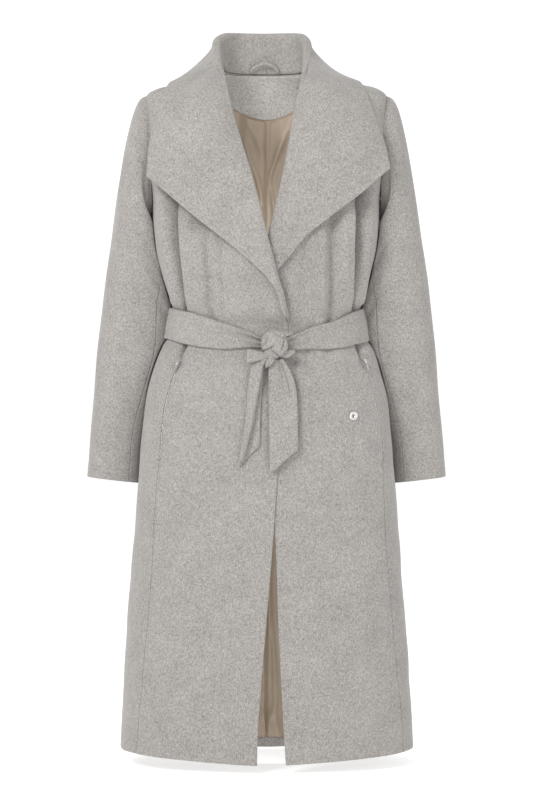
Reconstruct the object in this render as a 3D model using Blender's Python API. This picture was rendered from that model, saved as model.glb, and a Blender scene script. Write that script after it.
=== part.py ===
"""A belted wrap overcoat in brushed wool, standing as if worn, with nobody in it.

Metres, +Z up. The front faces -Y and the wearer's left is +X. The origin is at the base of the neck,
midway between the shoulders that carry the coat. The wearer's right front laps over the left one.

The body is a stack of rounded sections. A point on it is given by an angle round the vertical axis,
0 at the middle of the front, and by a level, which is its height before the belt and the hem bend the
rows of the cloth. Every panel is a patch of that surface, so neighbours share their seam lines.
"""

import math

import bmesh
import bpy
import numpy as np
from mathutils import Matrix

# ---------------------------------------------------------------- driving sizes
CLOTH = 0.0025  # one layer of coating wool
DOUBLE = 0.0040  # two layers, pressed: collar and belt
LINING = 0.0010
SEAM = 0.0003  # what two pieces keep between them where they are sewn
CLEAR = 0.0010  # between layers that lie on each other
LAP_OVER_LAPEL = 0.0125  # how high the right front passes over the left lapel

NECK_LEVEL = 0.018  # neck seam, and the top of the body panels
TIP_LEVEL = -0.027  # shoulder tip, and the top of the armhole
NOTCH_LEVEL = -0.150  # where the side seams run into the armhole
HEM_LEVEL = -1.131

BELT_TOP_LEVEL = -0.388
BELT_BOTTOM_LEVEL = -0.4405
BELT_DIP = 0.036  # how much lower the belt is at the knot than at the sides
HEM_DIP_FRONT = 0.012
HEM_DIP_BACK = 0.022

ZIP_TOP_LEVEL = -0.468
ZIP_BOTTOM_LEVEL = -0.645
ZIP_OPENING = 0.0030
CHAIN_WIDTH = 0.0022
CHAIN_THICK = 0.0014

ARMHOLE_MIDDLE = -0.131
ARMHOLE_HALF_HEIGHT = 0.104
ARMHOLE_FRONT = 0.060
ARMHOLE_BACK = 0.072

RIGHT, LEFT = -1, 1  # the wearer's sides, and the sign of x there
SIDE_NAMES = {RIGHT: "right", LEFT: "left"}

# ---------------------------------------------------------------- tables
# Sections of the body, from the hem up. Powers say how square the section is: 2 is an ellipse.
SECTION_COLUMNS = ("level", "half_width", "front", "back", "front_power", "back_power")
SECTIONS = (
    (-1.131, 0.2485, 0.147, 0.138, 2.4, 2.2),
    (-1.000, 0.2415, 0.142, 0.132, 2.4, 2.2),
    (-0.800, 0.2270, 0.136, 0.127, 2.4, 2.15),
    (-0.690, 0.2185, 0.132, 0.124, 2.4, 2.1),
    (-0.600, 0.2105, 0.128, 0.121, 2.4, 2.1),
    (-0.540, 0.2035, 0.124, 0.116, 2.4, 2.1),
    (-0.500, 0.1945, 0.119, 0.110, 2.4, 2.1),
    (-0.467, 0.1836, 0.113, 0.101, 2.4, 2.1),
    (-0.450, 0.1755, 0.108, 0.095, 2.4, 2.1),
    (-0.4405, 0.1690, 0.1055, 0.091, 2.4, 2.1),
    (-0.414, 0.1640, 0.1040, 0.088, 2.4, 2.2),
    (-0.388, 0.1595, 0.1040, 0.088, 2.5, 2.3),
    (-0.370, 0.1655, 0.1080, 0.092, 2.7, 2.4),
    (-0.330, 0.1770, 0.1160, 0.098, 3.0, 2.5),
    (-0.285, 0.1875, 0.1230, 0.103, 3.2, 2.7),
    (-0.235, 0.1925, 0.1260, 0.107, 3.4, 2.9),
    (-0.177, 0.1965, 0.1220, 0.108, 3.6, 3.0),
    (-0.119, 0.2000, 0.1130, 0.105, 3.6, 3.0),
    (-0.075, 0.2020, 0.1020, 0.100, 3.5, 3.0),
    (-0.040, 0.2038, 0.0900, 0.094, 3.2, 2.9),
    (-0.027, 0.2030, 0.0830, 0.090, 3.0, 2.8),
    (-0.017, 0.1836, 0.0770, 0.087, 2.8, 2.6),
    (-0.011, 0.1560, 0.0720, 0.084, 2.6, 2.5),
    (0.000, 0.1200, 0.0620, 0.079, 2.4, 2.4),
    (0.010, 0.0900, 0.0480, 0.074, 2.2, 2.3),
    (0.018, 0.0740, 0.0360, 0.0690, 2.2, 2.3),
)

# Heights of the rows of every body panel, from the neck down.
LEVELS = (
    0.018, 0.011, 0.003, -0.006, -0.014, -0.020, -0.027, -0.037, -0.055, -0.080, -0.115, -0.150,
    -0.180, -0.210, -0.245, -0.285, -0.320, -0.350, -0.372, -0.388, -0.414, -0.4405, -0.454, -0.467,
    -0.469, -0.492, -0.530, -0.585, -0.644, -0.646, -0.730, -0.860, -0.990, -1.1135, -1.131,
)

# Inner edge of each front, from the neck seam down the lapel to the break, then the free edge.
EDGE_COLUMNS = ("z", "right_x", "left_x")
FRONT_EDGE = (
    (-1.143, -0.0150, 0.0315),
    (-1.110, -0.0147, 0.0295),
    (-1.010, -0.0082, 0.0240),
    (-0.910, 0.0000, 0.0190),
    (-0.763, 0.0120, 0.0137),
    (-0.685, 0.0169, 0.0030),
    (-0.550, 0.0285, -0.0150),
    (-0.450, 0.0350, -0.0270),
    (-0.4235, 0.0355, -0.0260),
    (-0.407, 0.0308, -0.0235),
    (-0.381, 0.0245, -0.0150),
    (-0.371, 0.0215, -0.0115),
    (-0.340, 0.0120, -0.0045),
    (-0.276, -0.0052, 0.0110),
    (-0.182, -0.0295, 0.0325),
    (-0.120, -0.0490, 0.0450),
    (-0.075, -0.0655, 0.0560),
    (-0.027, -0.0800, 0.0660),
    (0.000, -0.0840, 0.0710),
    (0.010, -0.0790, 0.0725),
    (0.018, -0.0725, 0.0725),
)

# Seam between front and side panel, which holds the pocket: distance from the middle of the coat.
SEAM_COLUMNS = ("z", "right_x", "left_x")
POCKET_SEAM = (
    (-1.143, 0.2190, 0.2300),
    (-1.080, 0.2130, 0.2260),
    (-0.900, 0.1970, 0.2085),
    (-0.800, 0.1900, 0.2010),
    (-0.700, 0.1835, 0.1960),
    (-0.642, 0.1785, 0.1945),
    (-0.600, 0.1750, 0.1915),
    (-0.552, 0.1690, 0.1835),
    (-0.516, 0.1600, 0.1740),
    (-0.495, 0.1520, 0.1680),
    (-0.470, 0.1430, 0.1600),
    (-0.440, 0.1370, 0.1500),
    (-0.390, 0.1340, 0.1440),
    (-0.300, 0.1430, 0.1460),
    (-0.220, 0.1530, 0.1520),
    (-0.190, 0.1650, 0.1650),
    (-0.165, 0.1820, 0.1820),
    (-0.150, 0.1930, 0.1930),
)

# Seam between side and back panel, as an angle.
BACK_SEAM_COLUMNS = ("level", "degrees")
BACK_SEAM = ((-1.131, 112.0), (-0.600, 113.0), (-0.414, 115.0), (-0.250, 116.0), (-0.200, 115.0))


def columns(table, names):
    """The columns of a table as arrays, by name, in rising order of the first."""
    rows = np.array(sorted(table), float)
    return dict(zip(names, rows.T))


SECTION = columns(SECTIONS, SECTION_COLUMNS)
EDGE = columns(FRONT_EDGE, EDGE_COLUMNS)
POCKET = columns(POCKET_SEAM, SEAM_COLUMNS)
BACK = columns(BACK_SEAM, BACK_SEAM_COLUMNS)


# ---------------------------------------------------------------- small maths
def flow(at, knots, values):
    """A smooth curve through values at rising knots that never overshoots them (monotone cubic)."""
    at = np.clip(np.asarray(at, float), knots[0], knots[-1])
    step = np.diff(knots)
    slope = np.diff(values) / step
    tangent = np.zeros(len(values))
    turning = slope[:-1] * slope[1:] <= 0
    total = np.where(turning, 1.0, slope[:-1] + slope[1:])
    tangent[1:-1] = np.where(turning, 0.0, 2 * slope[:-1] * slope[1:] / total)
    tangent[0], tangent[-1] = slope[0], slope[-1]
    i = np.clip(np.searchsorted(knots, at, side="right") - 1, 0, len(step) - 1)
    t = (at - knots[i]) / step[i]
    rest = 1 - t
    return (
        (1 + 2 * t) * rest**2 * values[i]
        + t * rest**2 * step[i] * tangent[i]
        + t**2 * (3 - 2 * t) * values[i + 1]
        - t**2 * rest * step[i] * tangent[i + 1]
    )


def rise(at, start, end):
    """0 before start, 1 after end, and smooth between."""
    t = np.clip((np.asarray(at, float) - start) / (end - start), 0, 1)
    return t * t * (3 - 2 * t)


def unit(vectors):
    return vectors / np.maximum(np.linalg.norm(vectors, axis=-1, keepdims=True), 1e-12)


def mix(a, b, t):
    return a + (b - a) * t


# ---------------------------------------------------------------- the body's surface
def bend(angle, level):
    """How far the belt and the hem lower a row of the cloth at an angle."""
    toward_front = np.maximum(np.cos(angle), 0)
    toward_back = np.maximum(-np.cos(angle), 0)
    near_belt = rise(level, -0.62, -0.45) * (1 - rise(level, -0.38, -0.25))
    near_hem = 1 - rise(level, HEM_LEVEL, -0.95)
    hem = HEM_DIP_FRONT * toward_front**2 + HEM_DIP_BACK * toward_back**2
    return -BELT_DIP * toward_front**1.6 * near_belt - hem * near_hem


def section_at(level):
    return [flow(level, SECTION["level"], SECTION[name]) for name in SECTION_COLUMNS[1:]]


def torso(angle, level):
    """The plain body: a rounded section at every level, in polar form round the vertical axis."""
    half_width, front, back, front_power, back_power = section_at(level)
    sine, cosine = np.sin(angle), np.cos(angle)
    depth = np.where(cosine > 0, front, back)
    power = np.where(cosine > 0, front_power, back_power)
    radius = (np.abs(sine / half_width) ** power + np.abs(cosine / depth) ** power) ** (-1 / power)
    return np.stack([radius * sine, -radius * cosine, level + bend(angle, level)], -1)


def torso_normal(angle, level):
    """Outward normal of the plain body, from differences along its two directions."""
    small = 1e-4
    round_it = torso(angle + small, level) - torso(angle - small, level)
    down = torso(angle, np.clip(level - small, HEM_LEVEL, None)) - torso(
        angle, np.clip(level + small, None, NECK_LEVEL)
    )
    return unit(np.cross(down, round_it))


def angle_at_x(x, level):
    """The angle at which the front of the section at this level has this x."""
    half_width, front, _, power, _ = section_at(level)
    share = np.clip(1 - np.abs(x / half_width) ** power, 0, 1)
    return np.arctan2(x, front * share ** (1 / power))


def angle_at_y(y, level):
    """The angle, on the +X side, at which the section has this y."""
    half_width, front, back, front_power, back_power = section_at(level)
    depth = np.where(y < 0, front, back)
    power = np.where(y < 0, front_power, back_power)
    x = half_width * np.clip(1 - np.abs(y / depth) ** power, 0, 1) ** (1 / power)
    return np.arctan2(x, -y)


def table_angle(table, name, level):
    """The angle of a line given as x by true height, at a level: the row's own bend is taken off."""
    level = np.asarray(level, float)
    z = level
    for _ in range(5):
        x = flow(z, table["z"], table[name])
        angle = angle_at_x(x, level)
        z = level + bend(angle, level)
    return angle


def front_edge_angle(side, level):
    return table_angle(EDGE, SIDE_NAMES[side] + "_x", level)


def armhole_y(level):
    """Front and back y of the armhole at a level."""
    height = np.clip((level - ARMHOLE_MIDDLE) / ARMHOLE_HALF_HEIGHT, -1, 1)
    share = np.sqrt(1 - height**2)
    return -ARMHOLE_FRONT * share, ARMHOLE_BACK * share


def pocket_seam_angle(side, level):
    """The pocket seam, measured on the +X side: it leaves the armhole at its notch."""
    at_notch = angle_at_y(armhole_y(NOTCH_LEVEL)[0], NOTCH_LEVEL)
    below = table_angle(POCKET, SIDE_NAMES[side] + "_x", level)
    return mix(at_notch, below, rise(-np.asarray(level), -NOTCH_LEVEL, 0.185))


def back_seam_angle(level):
    at_notch = angle_at_y(armhole_y(NOTCH_LEVEL)[1], NOTCH_LEVEL)
    below = np.radians(flow(level, BACK["level"], BACK["degrees"]))
    return mix(at_notch, below, rise(-np.asarray(level), -NOTCH_LEVEL, 0.21))


# ---------------------------------------------------------------- folds
# Soft folds in the fronts, each a straight line down the cloth: x and level of its ends, the half
# width of the fold, and its height, which is below zero for a trough.
FOLD_COLUMNS = ("side", "top_x", "top_level", "bottom_x", "bottom_level", "half_width", "height")
FOLDS = (
    (RIGHT, 0.075, -0.240, 0.062, -0.386, 0.012, -0.0035),
    (RIGHT, 0.110, -0.220, 0.104, -0.386, 0.014, 0.0035),
    (LEFT, 0.066, -0.230, 0.062, -0.386, 0.010, -0.0040),
    (LEFT, 0.092, -0.220, 0.088, -0.386, 0.011, 0.0040),
    (LEFT, 0.118, -0.210, 0.110, -0.386, 0.010, -0.0035),
    (RIGHT, 0.150, -0.440, 0.184, -0.560, 0.011, -0.0050),
    (RIGHT, 0.105, -0.440, 0.110, -0.540, 0.012, -0.0025),
    (RIGHT, 0.060, -0.440, 0.062, -0.520, 0.011, 0.0020),
    (LEFT, 0.075, -0.440, 0.082, -0.560, 0.013, -0.0035),
    (LEFT, 0.112, -0.440, 0.124, -0.540, 0.013, 0.0030),
    (LEFT, 0.045, -0.440, 0.050, -0.530, 0.010, -0.0025),
)
# The deep fold along the pocket seam above the belt: how far the front stands over the side panel.
CREASE_COLUMNS = ("level", "over", "under")
CREASE = columns(
    (
        (-0.600, 0.0000, 0.0000),
        (-0.455, 0.0000, 0.0000),
        (-0.4405, 0.0000, 0.0040),
        (-0.380, 0.0000, 0.0040),
        (-0.355, 0.0055, 0.0075),
        (-0.320, 0.0060, 0.0070),
        (-0.250, 0.0045, 0.0055),
        (-0.185, 0.0015, 0.0020),
        (-0.150, 0.0000, 0.0000),
    ),
    CREASE_COLUMNS,
)


def fold_height(side, angle, level):
    """How far the folds lift the cloth of one side at a place, before the belt presses it flat."""
    point = torso(angle, level)
    radius = np.linalg.norm(point[..., :2], axis=-1)
    height = np.zeros(np.shape(radius))
    for fold_side, top_x, top, bottom_x, bottom, half_width, fold in FOLDS:
        if fold_side != side:
            continue
        along = (level - top) / (bottom - top)
        x = side * mix(top_x, bottom_x, np.clip(along, 0, 1))
        off = (angle - angle_at_x(x, level)) * radius / half_width
        ends = rise(along, 0.0, 0.35) * (1 - rise(along, 0.8, 1.0))
        if bottom < BELT_BOTTOM_LEVEL:
            ends = rise(along, 0.0, 0.12) * (1 - rise(along, 0.3, 1.0))
        height = height + fold * ends * np.exp(-(off**2))
    off = side * angle - pocket_seam_angle(side, level)
    off = off * radius
    over = flow(level, CREASE["level"], CREASE["over"])
    under = flow(level, CREASE["level"], CREASE["under"])
    past = rise(off, -0.0028, -0.0004)
    hill = over * np.exp(-((off / 0.028) ** 2))
    dale = -under * np.exp(-(np.maximum(off, 0) / 0.013) ** 2)
    return height + mix(hill, dale, past)


def lap_lift(side, angle, level):
    """The wearer's right front lies on the left one, and higher up on the left lapel."""
    if side == LEFT:
        return np.zeros(np.shape(angle))
    x = torso(angle, level)[..., 0]
    near_edge = rise(x, -0.075, -0.035)
    over_lapel = rise(level, -0.385, -0.360) * (1 - rise(level, -0.255, -0.170))
    return near_edge * mix(CLOTH + CLEAR, LAP_OVER_LAPEL, over_lapel)


def body(side, angle, level, lift=0.0):
    """A point of the cloth: the plain body, moved out by its folds, its lap and lift."""
    angle, level = np.broadcast_arrays(np.asarray(angle, float), np.asarray(level, float))
    out = lap_lift(side, angle, level) + fold_height(side, angle, level) + lift
    return torso(angle, level) + torso_normal(angle, level) * out[..., None]


def back_body(angle, level, lift=0.0):
    """A point of the back, which has no folds of its own."""
    angle, level = np.broadcast_arrays(np.asarray(angle, float), np.asarray(level, float))
    return torso(angle, level) + torso_normal(angle, level) * lift


# ---------------------------------------------------------------- mesh building
def material(name, colour, roughness, metallic=0.0):
    made = bpy.data.materials.get(name)
    if made is None:
        made = bpy.data.materials.new(name)
        made.use_nodes = True
        shader = made.node_tree.nodes["Principled BSDF"]
        shader.inputs["Base Color"].default_value = (*colour, 1.0)
        shader.inputs["Roughness"].default_value = roughness
        shader.inputs["Metallic"].default_value = metallic
    return made


def wool():
    return material("wool", (0.45, 0.42, 0.385), 0.95)


def satin():
    return material("lining_satin", (0.32, 0.26, 0.20), 0.45)


def silver():
    return material("silver", (0.80, 0.80, 0.79), 0.25, 1.0)


def add_object(name, mesh, finish):
    made = bpy.data.objects.new(name, mesh)
    made.data.materials.append(finish)
    bpy.data.collections["overcoat"].objects.link(made)
    return made


def finish_mesh(name, points, faces, finish):
    mesh = bpy.data.meshes.new(name)
    mesh.from_pydata(points.tolist(), [], faces)
    shape = bmesh.new()
    shape.from_mesh(mesh)
    if shape.calc_volume(signed=True) < 0:
        bmesh.ops.reverse_faces(shape, faces=shape.faces)
    shape.to_mesh(mesh)
    shape.free()
    mesh.shade_smooth()
    mesh.set_sharp_from_angle(angle=math.radians(40))
    return add_object(name, mesh, finish)


def grid_faces(at, around):
    """Triangles of a grid of point numbers, cut alike so that both sheets of a wall agree."""
    if around:
        at = np.concatenate([at, at[:, :1]], 1)
    near = np.stack([at[:-1, :-1], at[:-1, 1:], at[1:, 1:]], -1).reshape(-1, 3)
    far = np.stack([at[:-1, :-1], at[1:, 1:], at[1:, :-1]], -1).reshape(-1, 3)
    return np.concatenate([near, far])


def rim_faces(one, two, count):
    """The wall's edge between two rows of points, cut the same way on both pieces of a seam."""
    near = np.stack([one, one + count, two + count], -1)
    far = np.stack([one, two + count, two], -1)
    return np.concatenate([near, far])


def wall(name, outer, inner, finish, around=False):
    """A closed wall of cloth between two sheets of points with the same rows and columns."""
    rows, cols = outer.shape[:2]
    points = np.concatenate([outer.reshape(-1, 3), inner.reshape(-1, 3)])
    count = rows * cols
    at = np.arange(count).reshape(rows, cols)
    front = grid_faces(at, around)
    wide = np.concatenate([at, at[:, :1]], 1) if around else at
    # Each edge runs down or to the right, and the faces of two of them are turned over.
    edges = [rim_faces(wide[0, :-1], wide[0, 1:], count)]
    edges.append(rim_faces(wide[-1, :-1], wide[-1, 1:], count)[:, ::-1])
    if not around:
        edges.append(rim_faces(at[:-1, -1], at[1:, -1], count))
        edges.append(rim_faces(at[:-1, 0], at[1:, 0], count)[:, ::-1])
    faces = np.concatenate([front, front[:, ::-1] + count]).tolist()
    return finish_mesh(name, points, faces + np.concatenate(edges).tolist(), finish)


# ---------------------------------------------------------------- body panels
def spread(start, end, shares):
    """Columns from one angle to another at every row, as shares of the way."""
    return start[:, None] + (end - start)[:, None] * np.asarray(shares)[None, :]


def trimmed(start, end, level, start_gap=SEAM / 2, end_gap=SEAM / 2):
    """Both angles moved towards each other, by half a seam or by half a pocket's opening."""
    toward = np.sign(end - start)
    radius_start = np.linalg.norm(torso(start, level)[..., :2], axis=-1)
    radius_end = np.linalg.norm(torso(end, level)[..., :2], axis=-1)
    return start + toward * start_gap / radius_start, end - toward * end_gap / radius_end


def pocket_gap(level):
    """Half of what the front and the side panel keep between them: wider where the zip is set in."""
    inside = (level < ZIP_TOP_LEVEL) & (level > ZIP_BOTTOM_LEVEL)
    return np.where(inside, ZIP_OPENING / 2, SEAM / 2)


def front_outer_angle(side, level):
    """Where a front ends on its outer side: shoulder seam, then armhole, then pocket seam."""
    arm = angle_at_y(armhole_y(level)[0], level)
    end = np.where(level > NOTCH_LEVEL, arm, pocket_seam_angle(side, level))
    return side * np.where(level >= TIP_LEVEL, math.pi / 2, end)


FRONT_SHARES = (0, 0.165, 0.33, 0.495, 0.66, 0.825, 0.982, 1)


def make_front(side):
    level = np.array(LEVELS)
    start, end = front_edge_angle(side, level), front_outer_angle(side, level)
    start, end = trimmed(start, end, level, SEAM / 2, pocket_gap(level))
    angle = spread(start, end, FRONT_SHARES)
    level = np.repeat(level[:, None], len(FRONT_SHARES), 1)
    wall(
        f"front_{SIDE_NAMES[side]}",
        body(side, angle, level),
        body(side, angle, level, -CLOTH),
        wool(),
    )


SIDE_SHARES = np.linspace(0, 1, 6)
SIDE_TOP_ROWS = 4  # rows between the armhole and the first level that goes all the way across


def side_top_level(side, share):
    """The level at which a column of the side panel meets the bottom of the armhole."""
    low = np.full(np.shape(share), ARMHOLE_MIDDLE - ARMHOLE_HALF_HEIGHT)
    high = np.full(np.shape(share), NOTCH_LEVEL)
    for _ in range(30):
        level = (low + high) / 2
        angle = mix(pocket_seam_angle(side, level), back_seam_angle(level), share)
        y = torso(angle, level)[..., 1]
        reach = np.where(y < 0, ARMHOLE_FRONT, ARMHOLE_BACK)
        inside = (y / reach) ** 2 + ((level - ARMHOLE_MIDDLE) / ARMHOLE_HALF_HEIGHT) ** 2 < 1
        low, high = np.where(inside, low, level), np.where(inside, level, high)
    return (low + high) / 2


def side_levels(side):
    top = side_top_level(side, SIDE_SHARES)
    top[0] = top[-1] = NOTCH_LEVEL
    notch = LEVELS.index(NOTCH_LEVEL)
    first_full = notch + SIDE_TOP_ROWS
    rows = np.array(LEVELS[notch:first_full])
    shares = (rows - NOTCH_LEVEL) / (LEVELS[first_full] - NOTCH_LEVEL)
    upper = mix(top[None, :], LEVELS[first_full], shares[:, None])
    lower = np.repeat(np.array(LEVELS[first_full:])[:, None], len(SIDE_SHARES), 1)
    return np.concatenate([upper, lower])


def side_angles(side, level):
    start, end = pocket_seam_angle(side, level), back_seam_angle(level)
    start, end = trimmed(start, end, level, pocket_gap(level))
    return side * mix(start, end, SIDE_SHARES[None, :])


def make_side(side):
    level = side_levels(side)
    angle = side_angles(side, level)
    wall(
        f"side_{SIDE_NAMES[side]}",
        body(side, angle, level),
        body(side, angle, level, -CLOTH),
        wool(),
    )


BACK_SHARES = np.linspace(-1, 1, 9)


def back_outer_angle(level):
    """Where the back ends on each side: shoulder seam, then armhole, then side seam."""
    arm = angle_at_y(armhole_y(level)[1], level)
    end = np.where(level > NOTCH_LEVEL, arm, back_seam_angle(level))
    return np.where(level >= TIP_LEVEL, math.pi / 2, end)


def make_back():
    level = np.array(LEVELS)
    _, end = trimmed(np.full(len(level), math.pi), back_outer_angle(level), level)
    angle = math.pi - (math.pi - end)[:, None] * BACK_SHARES[None, :]
    level = np.repeat(level[:, None], len(BACK_SHARES), 1)
    wall("back", back_body(angle, level), back_body(angle, level, -CLOTH), wool())


# ---------------------------------------------------------------- sleeves
# Rings of the sleeve from the armhole to the cuff: their outer and inner ends, how far back their
# middle is, and how deep they are before and behind it. All on the wearer's left.
SLEEVE_COLUMNS = (
    "along", "outer_x", "outer_z", "inner_x", "inner_z", "middle_y", "front_depth", "back_depth",
)
SLEEVE_RINGS = (
    (0.000, 0.2030, -0.0270, 0.1925, -0.2350, 0.000, 0.0600, 0.0720),
    (0.010, 0.2120, -0.0315, 0.1946, -0.2395, 0.000, 0.0625, 0.0740),
    (0.030, 0.2225, -0.0500, 0.1948, -0.2430, 0.002, 0.0660, 0.0760),
    (0.060, 0.2310, -0.0790, 0.1948, -0.2475, 0.004, 0.0690, 0.0760),
    (0.100, 0.2400, -0.1180, 0.1940, -0.2560, 0.007, 0.0710, 0.0750),
    (0.170, 0.2525, -0.1890, 0.1898, -0.2880, 0.012, 0.0700, 0.0720),
    (0.250, 0.2650, -0.2700, 0.1835, -0.3350, 0.018, 0.0660, 0.0660),
    (0.400, 0.2850, -0.4200, 0.1850, -0.4430, 0.030, 0.0550, 0.0550),
    (0.530, 0.2975, -0.5500, 0.2035, -0.5620, 0.042, 0.0490, 0.0490),
    (0.655, 0.3085, -0.6755, 0.2140, -0.6865, 0.050, 0.0440, 0.0440),
)
SLEEVE = columns(SLEEVE_RINGS, SLEEVE_COLUMNS)
SLEEVE_LENGTH = 0.655
SLEEVE_ALONG = (0.010, 0.030, 0.060, 0.105, 0.165, 0.240, 0.330, 0.430, 0.540, 0.655)
SLEEVE_POWER = 2.2


def sleeve(side, turn, along):
    """A point of a sleeve: turn is 0 on its outer edge and grows to the front, round its ring."""
    ring = {name: flow(along, SLEEVE["along"], SLEEVE[name]) for name in SLEEVE_COLUMNS[1:]}
    sine, cosine = np.sin(turn), np.cos(turn)
    power = mix(2.0, SLEEVE_POWER, rise(along, 0.0, 0.06))
    across = np.sign(cosine) * np.abs(cosine) ** (2 / power)
    depth = np.where(sine > 0, -ring["front_depth"], ring["back_depth"])
    y = depth * np.abs(sine) ** (2 / power)
    x = mix(ring["inner_x"], ring["outer_x"], (1 + across) / 2)
    z = mix(ring["inner_z"], ring["outer_z"], (1 + across) / 2)
    # The first ring follows the side of the body rather than a flat plane.
    half_width, front, back, front_power, back_power = section_at(z)
    reach = np.where(y < 0, front, back)
    body_power = np.where(y < 0, front_power, back_power)
    share = np.clip(1 - np.abs(y / reach) ** body_power, 0.05, 1)
    on_body = half_width * share ** (1 / body_power)
    flat = mix(SLEEVE["inner_x"][0], SLEEVE["outer_x"][0], (1 + across) / 2)
    x = x + (on_body - flat) * (1 - rise(along, 0.0, 0.05))
    return np.stack([side * x, y + ring["middle_y"], z], -1)


def sleeve_normal(side, turn, along):
    small = 1e-4
    round_it = sleeve(side, turn + small, along) - sleeve(side, turn - small, along)
    low, high = np.clip(along - small, 0, None), np.clip(along + small, None, SLEEVE_LENGTH)
    down = sleeve(side, turn, high) - sleeve(side, turn, low)
    return side * unit(np.cross(round_it, down))


def sleeve_seam_turns(along):
    """The two seams of a sleeve: one to the front and one to the back of the under sleeve."""
    front = mix(math.radians(158), math.radians(122), rise(along, 0.05, 0.35))
    return front, np.radians(240.0) + 0 * front


def armhole_rim(side):
    """Corners of the armhole of the body panels, as turn and point, round from the shoulder."""
    high = np.array([level for level in LEVELS if NOTCH_LEVEL <= level <= TIP_LEVEL])
    front_y, back_y = armhole_y(high)
    front = torso(angle_at_y(front_y, high), high)
    back = torso(angle_at_y(back_y, high), high)[::-1]
    level = side_top_level(side, SIDE_SHARES[1:-1])
    low = mix(pocket_seam_angle(side, level), back_seam_angle(level), SIDE_SHARES[1:-1])
    points = np.concatenate([front, torso(low, level), back[:-1]])
    deep = np.where(points[:, 1] < 0, ARMHOLE_FRONT, ARMHOLE_BACK)
    turn = np.arctan2(-points[:, 1] / deep, (points[:, 2] - ARMHOLE_MIDDLE) / ARMHOLE_HALF_HEIGHT)
    turn = np.mod(turn, 2 * math.pi)
    turn[0] = 0.0
    return turn, points * [side, 1, 1]


def make_sleeve(side):
    """The upper and the under sleeve. Their first ring sits on the corners of the armhole."""
    rim_turn, rim = armhole_rim(side)
    seam_front, seam_back = sleeve_seam_turns(np.array(0.0))
    first = int(np.argmin(np.abs(rim_turn - seam_front)))
    second = int(np.argmin(np.abs(rim_turn - seam_back)))
    count = len(rim_turn)
    under = list(range(first, second + 1))
    upper = list(range(second, count)) + list(range(0, first + 1))
    along = np.array(SLEEVE_ALONG)
    for name, corners in (("upper", upper), ("under", under)):
        turn = rim_turn[corners].copy()
        if name == "upper":
            turn[: count - second] -= 2 * math.pi
        points = rim[corners]
        if name == "under":
            turn = split(turn)
            points = split(points)
        share = (turn - turn[0]) / (turn[-1] - turn[0])
        even = np.linspace(0, 1, len(turn))
        front, back = sleeve_seam_turns(along)
        start, end = (back - 2 * math.pi, front) if name == "upper" else (front, back)
        share = mix(share[None, :], even[None, :], rise(along, 0.0, 0.15)[:, None])
        start = mix(turn[0], start, rise(along, 0.0, 0.08)) + SEAM / 2 / 0.05
        end = mix(turn[-1], end, rise(along, 0.0, 0.08)) - SEAM / 2 / 0.05
        grid = start[:, None] + (end - start)[:, None] * share
        rows = np.repeat(along[:, None], len(turn), 1)
        outer = sleeve(side, grid, rows)
        inner = outer - sleeve_normal(side, grid, rows) * CLOTH
        centre = np.array([0.0, 0.004, ARMHOLE_MIDDLE])
        outward = unit((points - centre) * [0, 1, 1])
        off = np.array([side * SEAM, 0, 0])
        top = points + off - outward * SEAM / 2
        along_rim = unit(np.gradient(points, axis=0)) * SEAM / 2
        top[0] += along_rim[0]
        top[-1] -= along_rim[-1]
        low = top - outward * CLOTH
        wall(
            f"sleeve_{name}_{SIDE_NAMES[side]}",
            np.concatenate([top[None], outer]),
            np.concatenate([low[None], inner]),
            wool(),
        )


def split(values):
    """A list of corners with the middle of every edge added."""
    middles = (values[:-1] + values[1:]) / 2
    both = np.empty((len(values) + len(middles), *values.shape[1:]))
    both[0::2], both[1::2] = values, middles
    return both


# ---------------------------------------------------------------- points on the fronts
def front_level(x, z):
    level = np.array(z, float)
    for _ in range(6):
        angle = angle_at_x(x, level)
        level = np.clip(z - bend(angle, level), HEM_LEVEL, NECK_LEVEL)
    return angle, level


def front_point(side, x, z, lift=0.0):
    """The place on a front, or on its surface carried past its edges, at a given x and height."""
    angle, level = front_level(np.asarray(x, float), np.asarray(z, float))
    return body(side, angle, level, lift)


def front_y(side, x, z):
    """How far forward the front stands at x and z."""
    angle, level = front_level(x, z)
    out = lap_lift(side, angle, level) + fold_height(side, angle, level)
    facing = np.maximum(-torso_normal(angle, level)[..., 1], 0.5)
    return torso(angle, level)[..., 1] - out / facing


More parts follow.
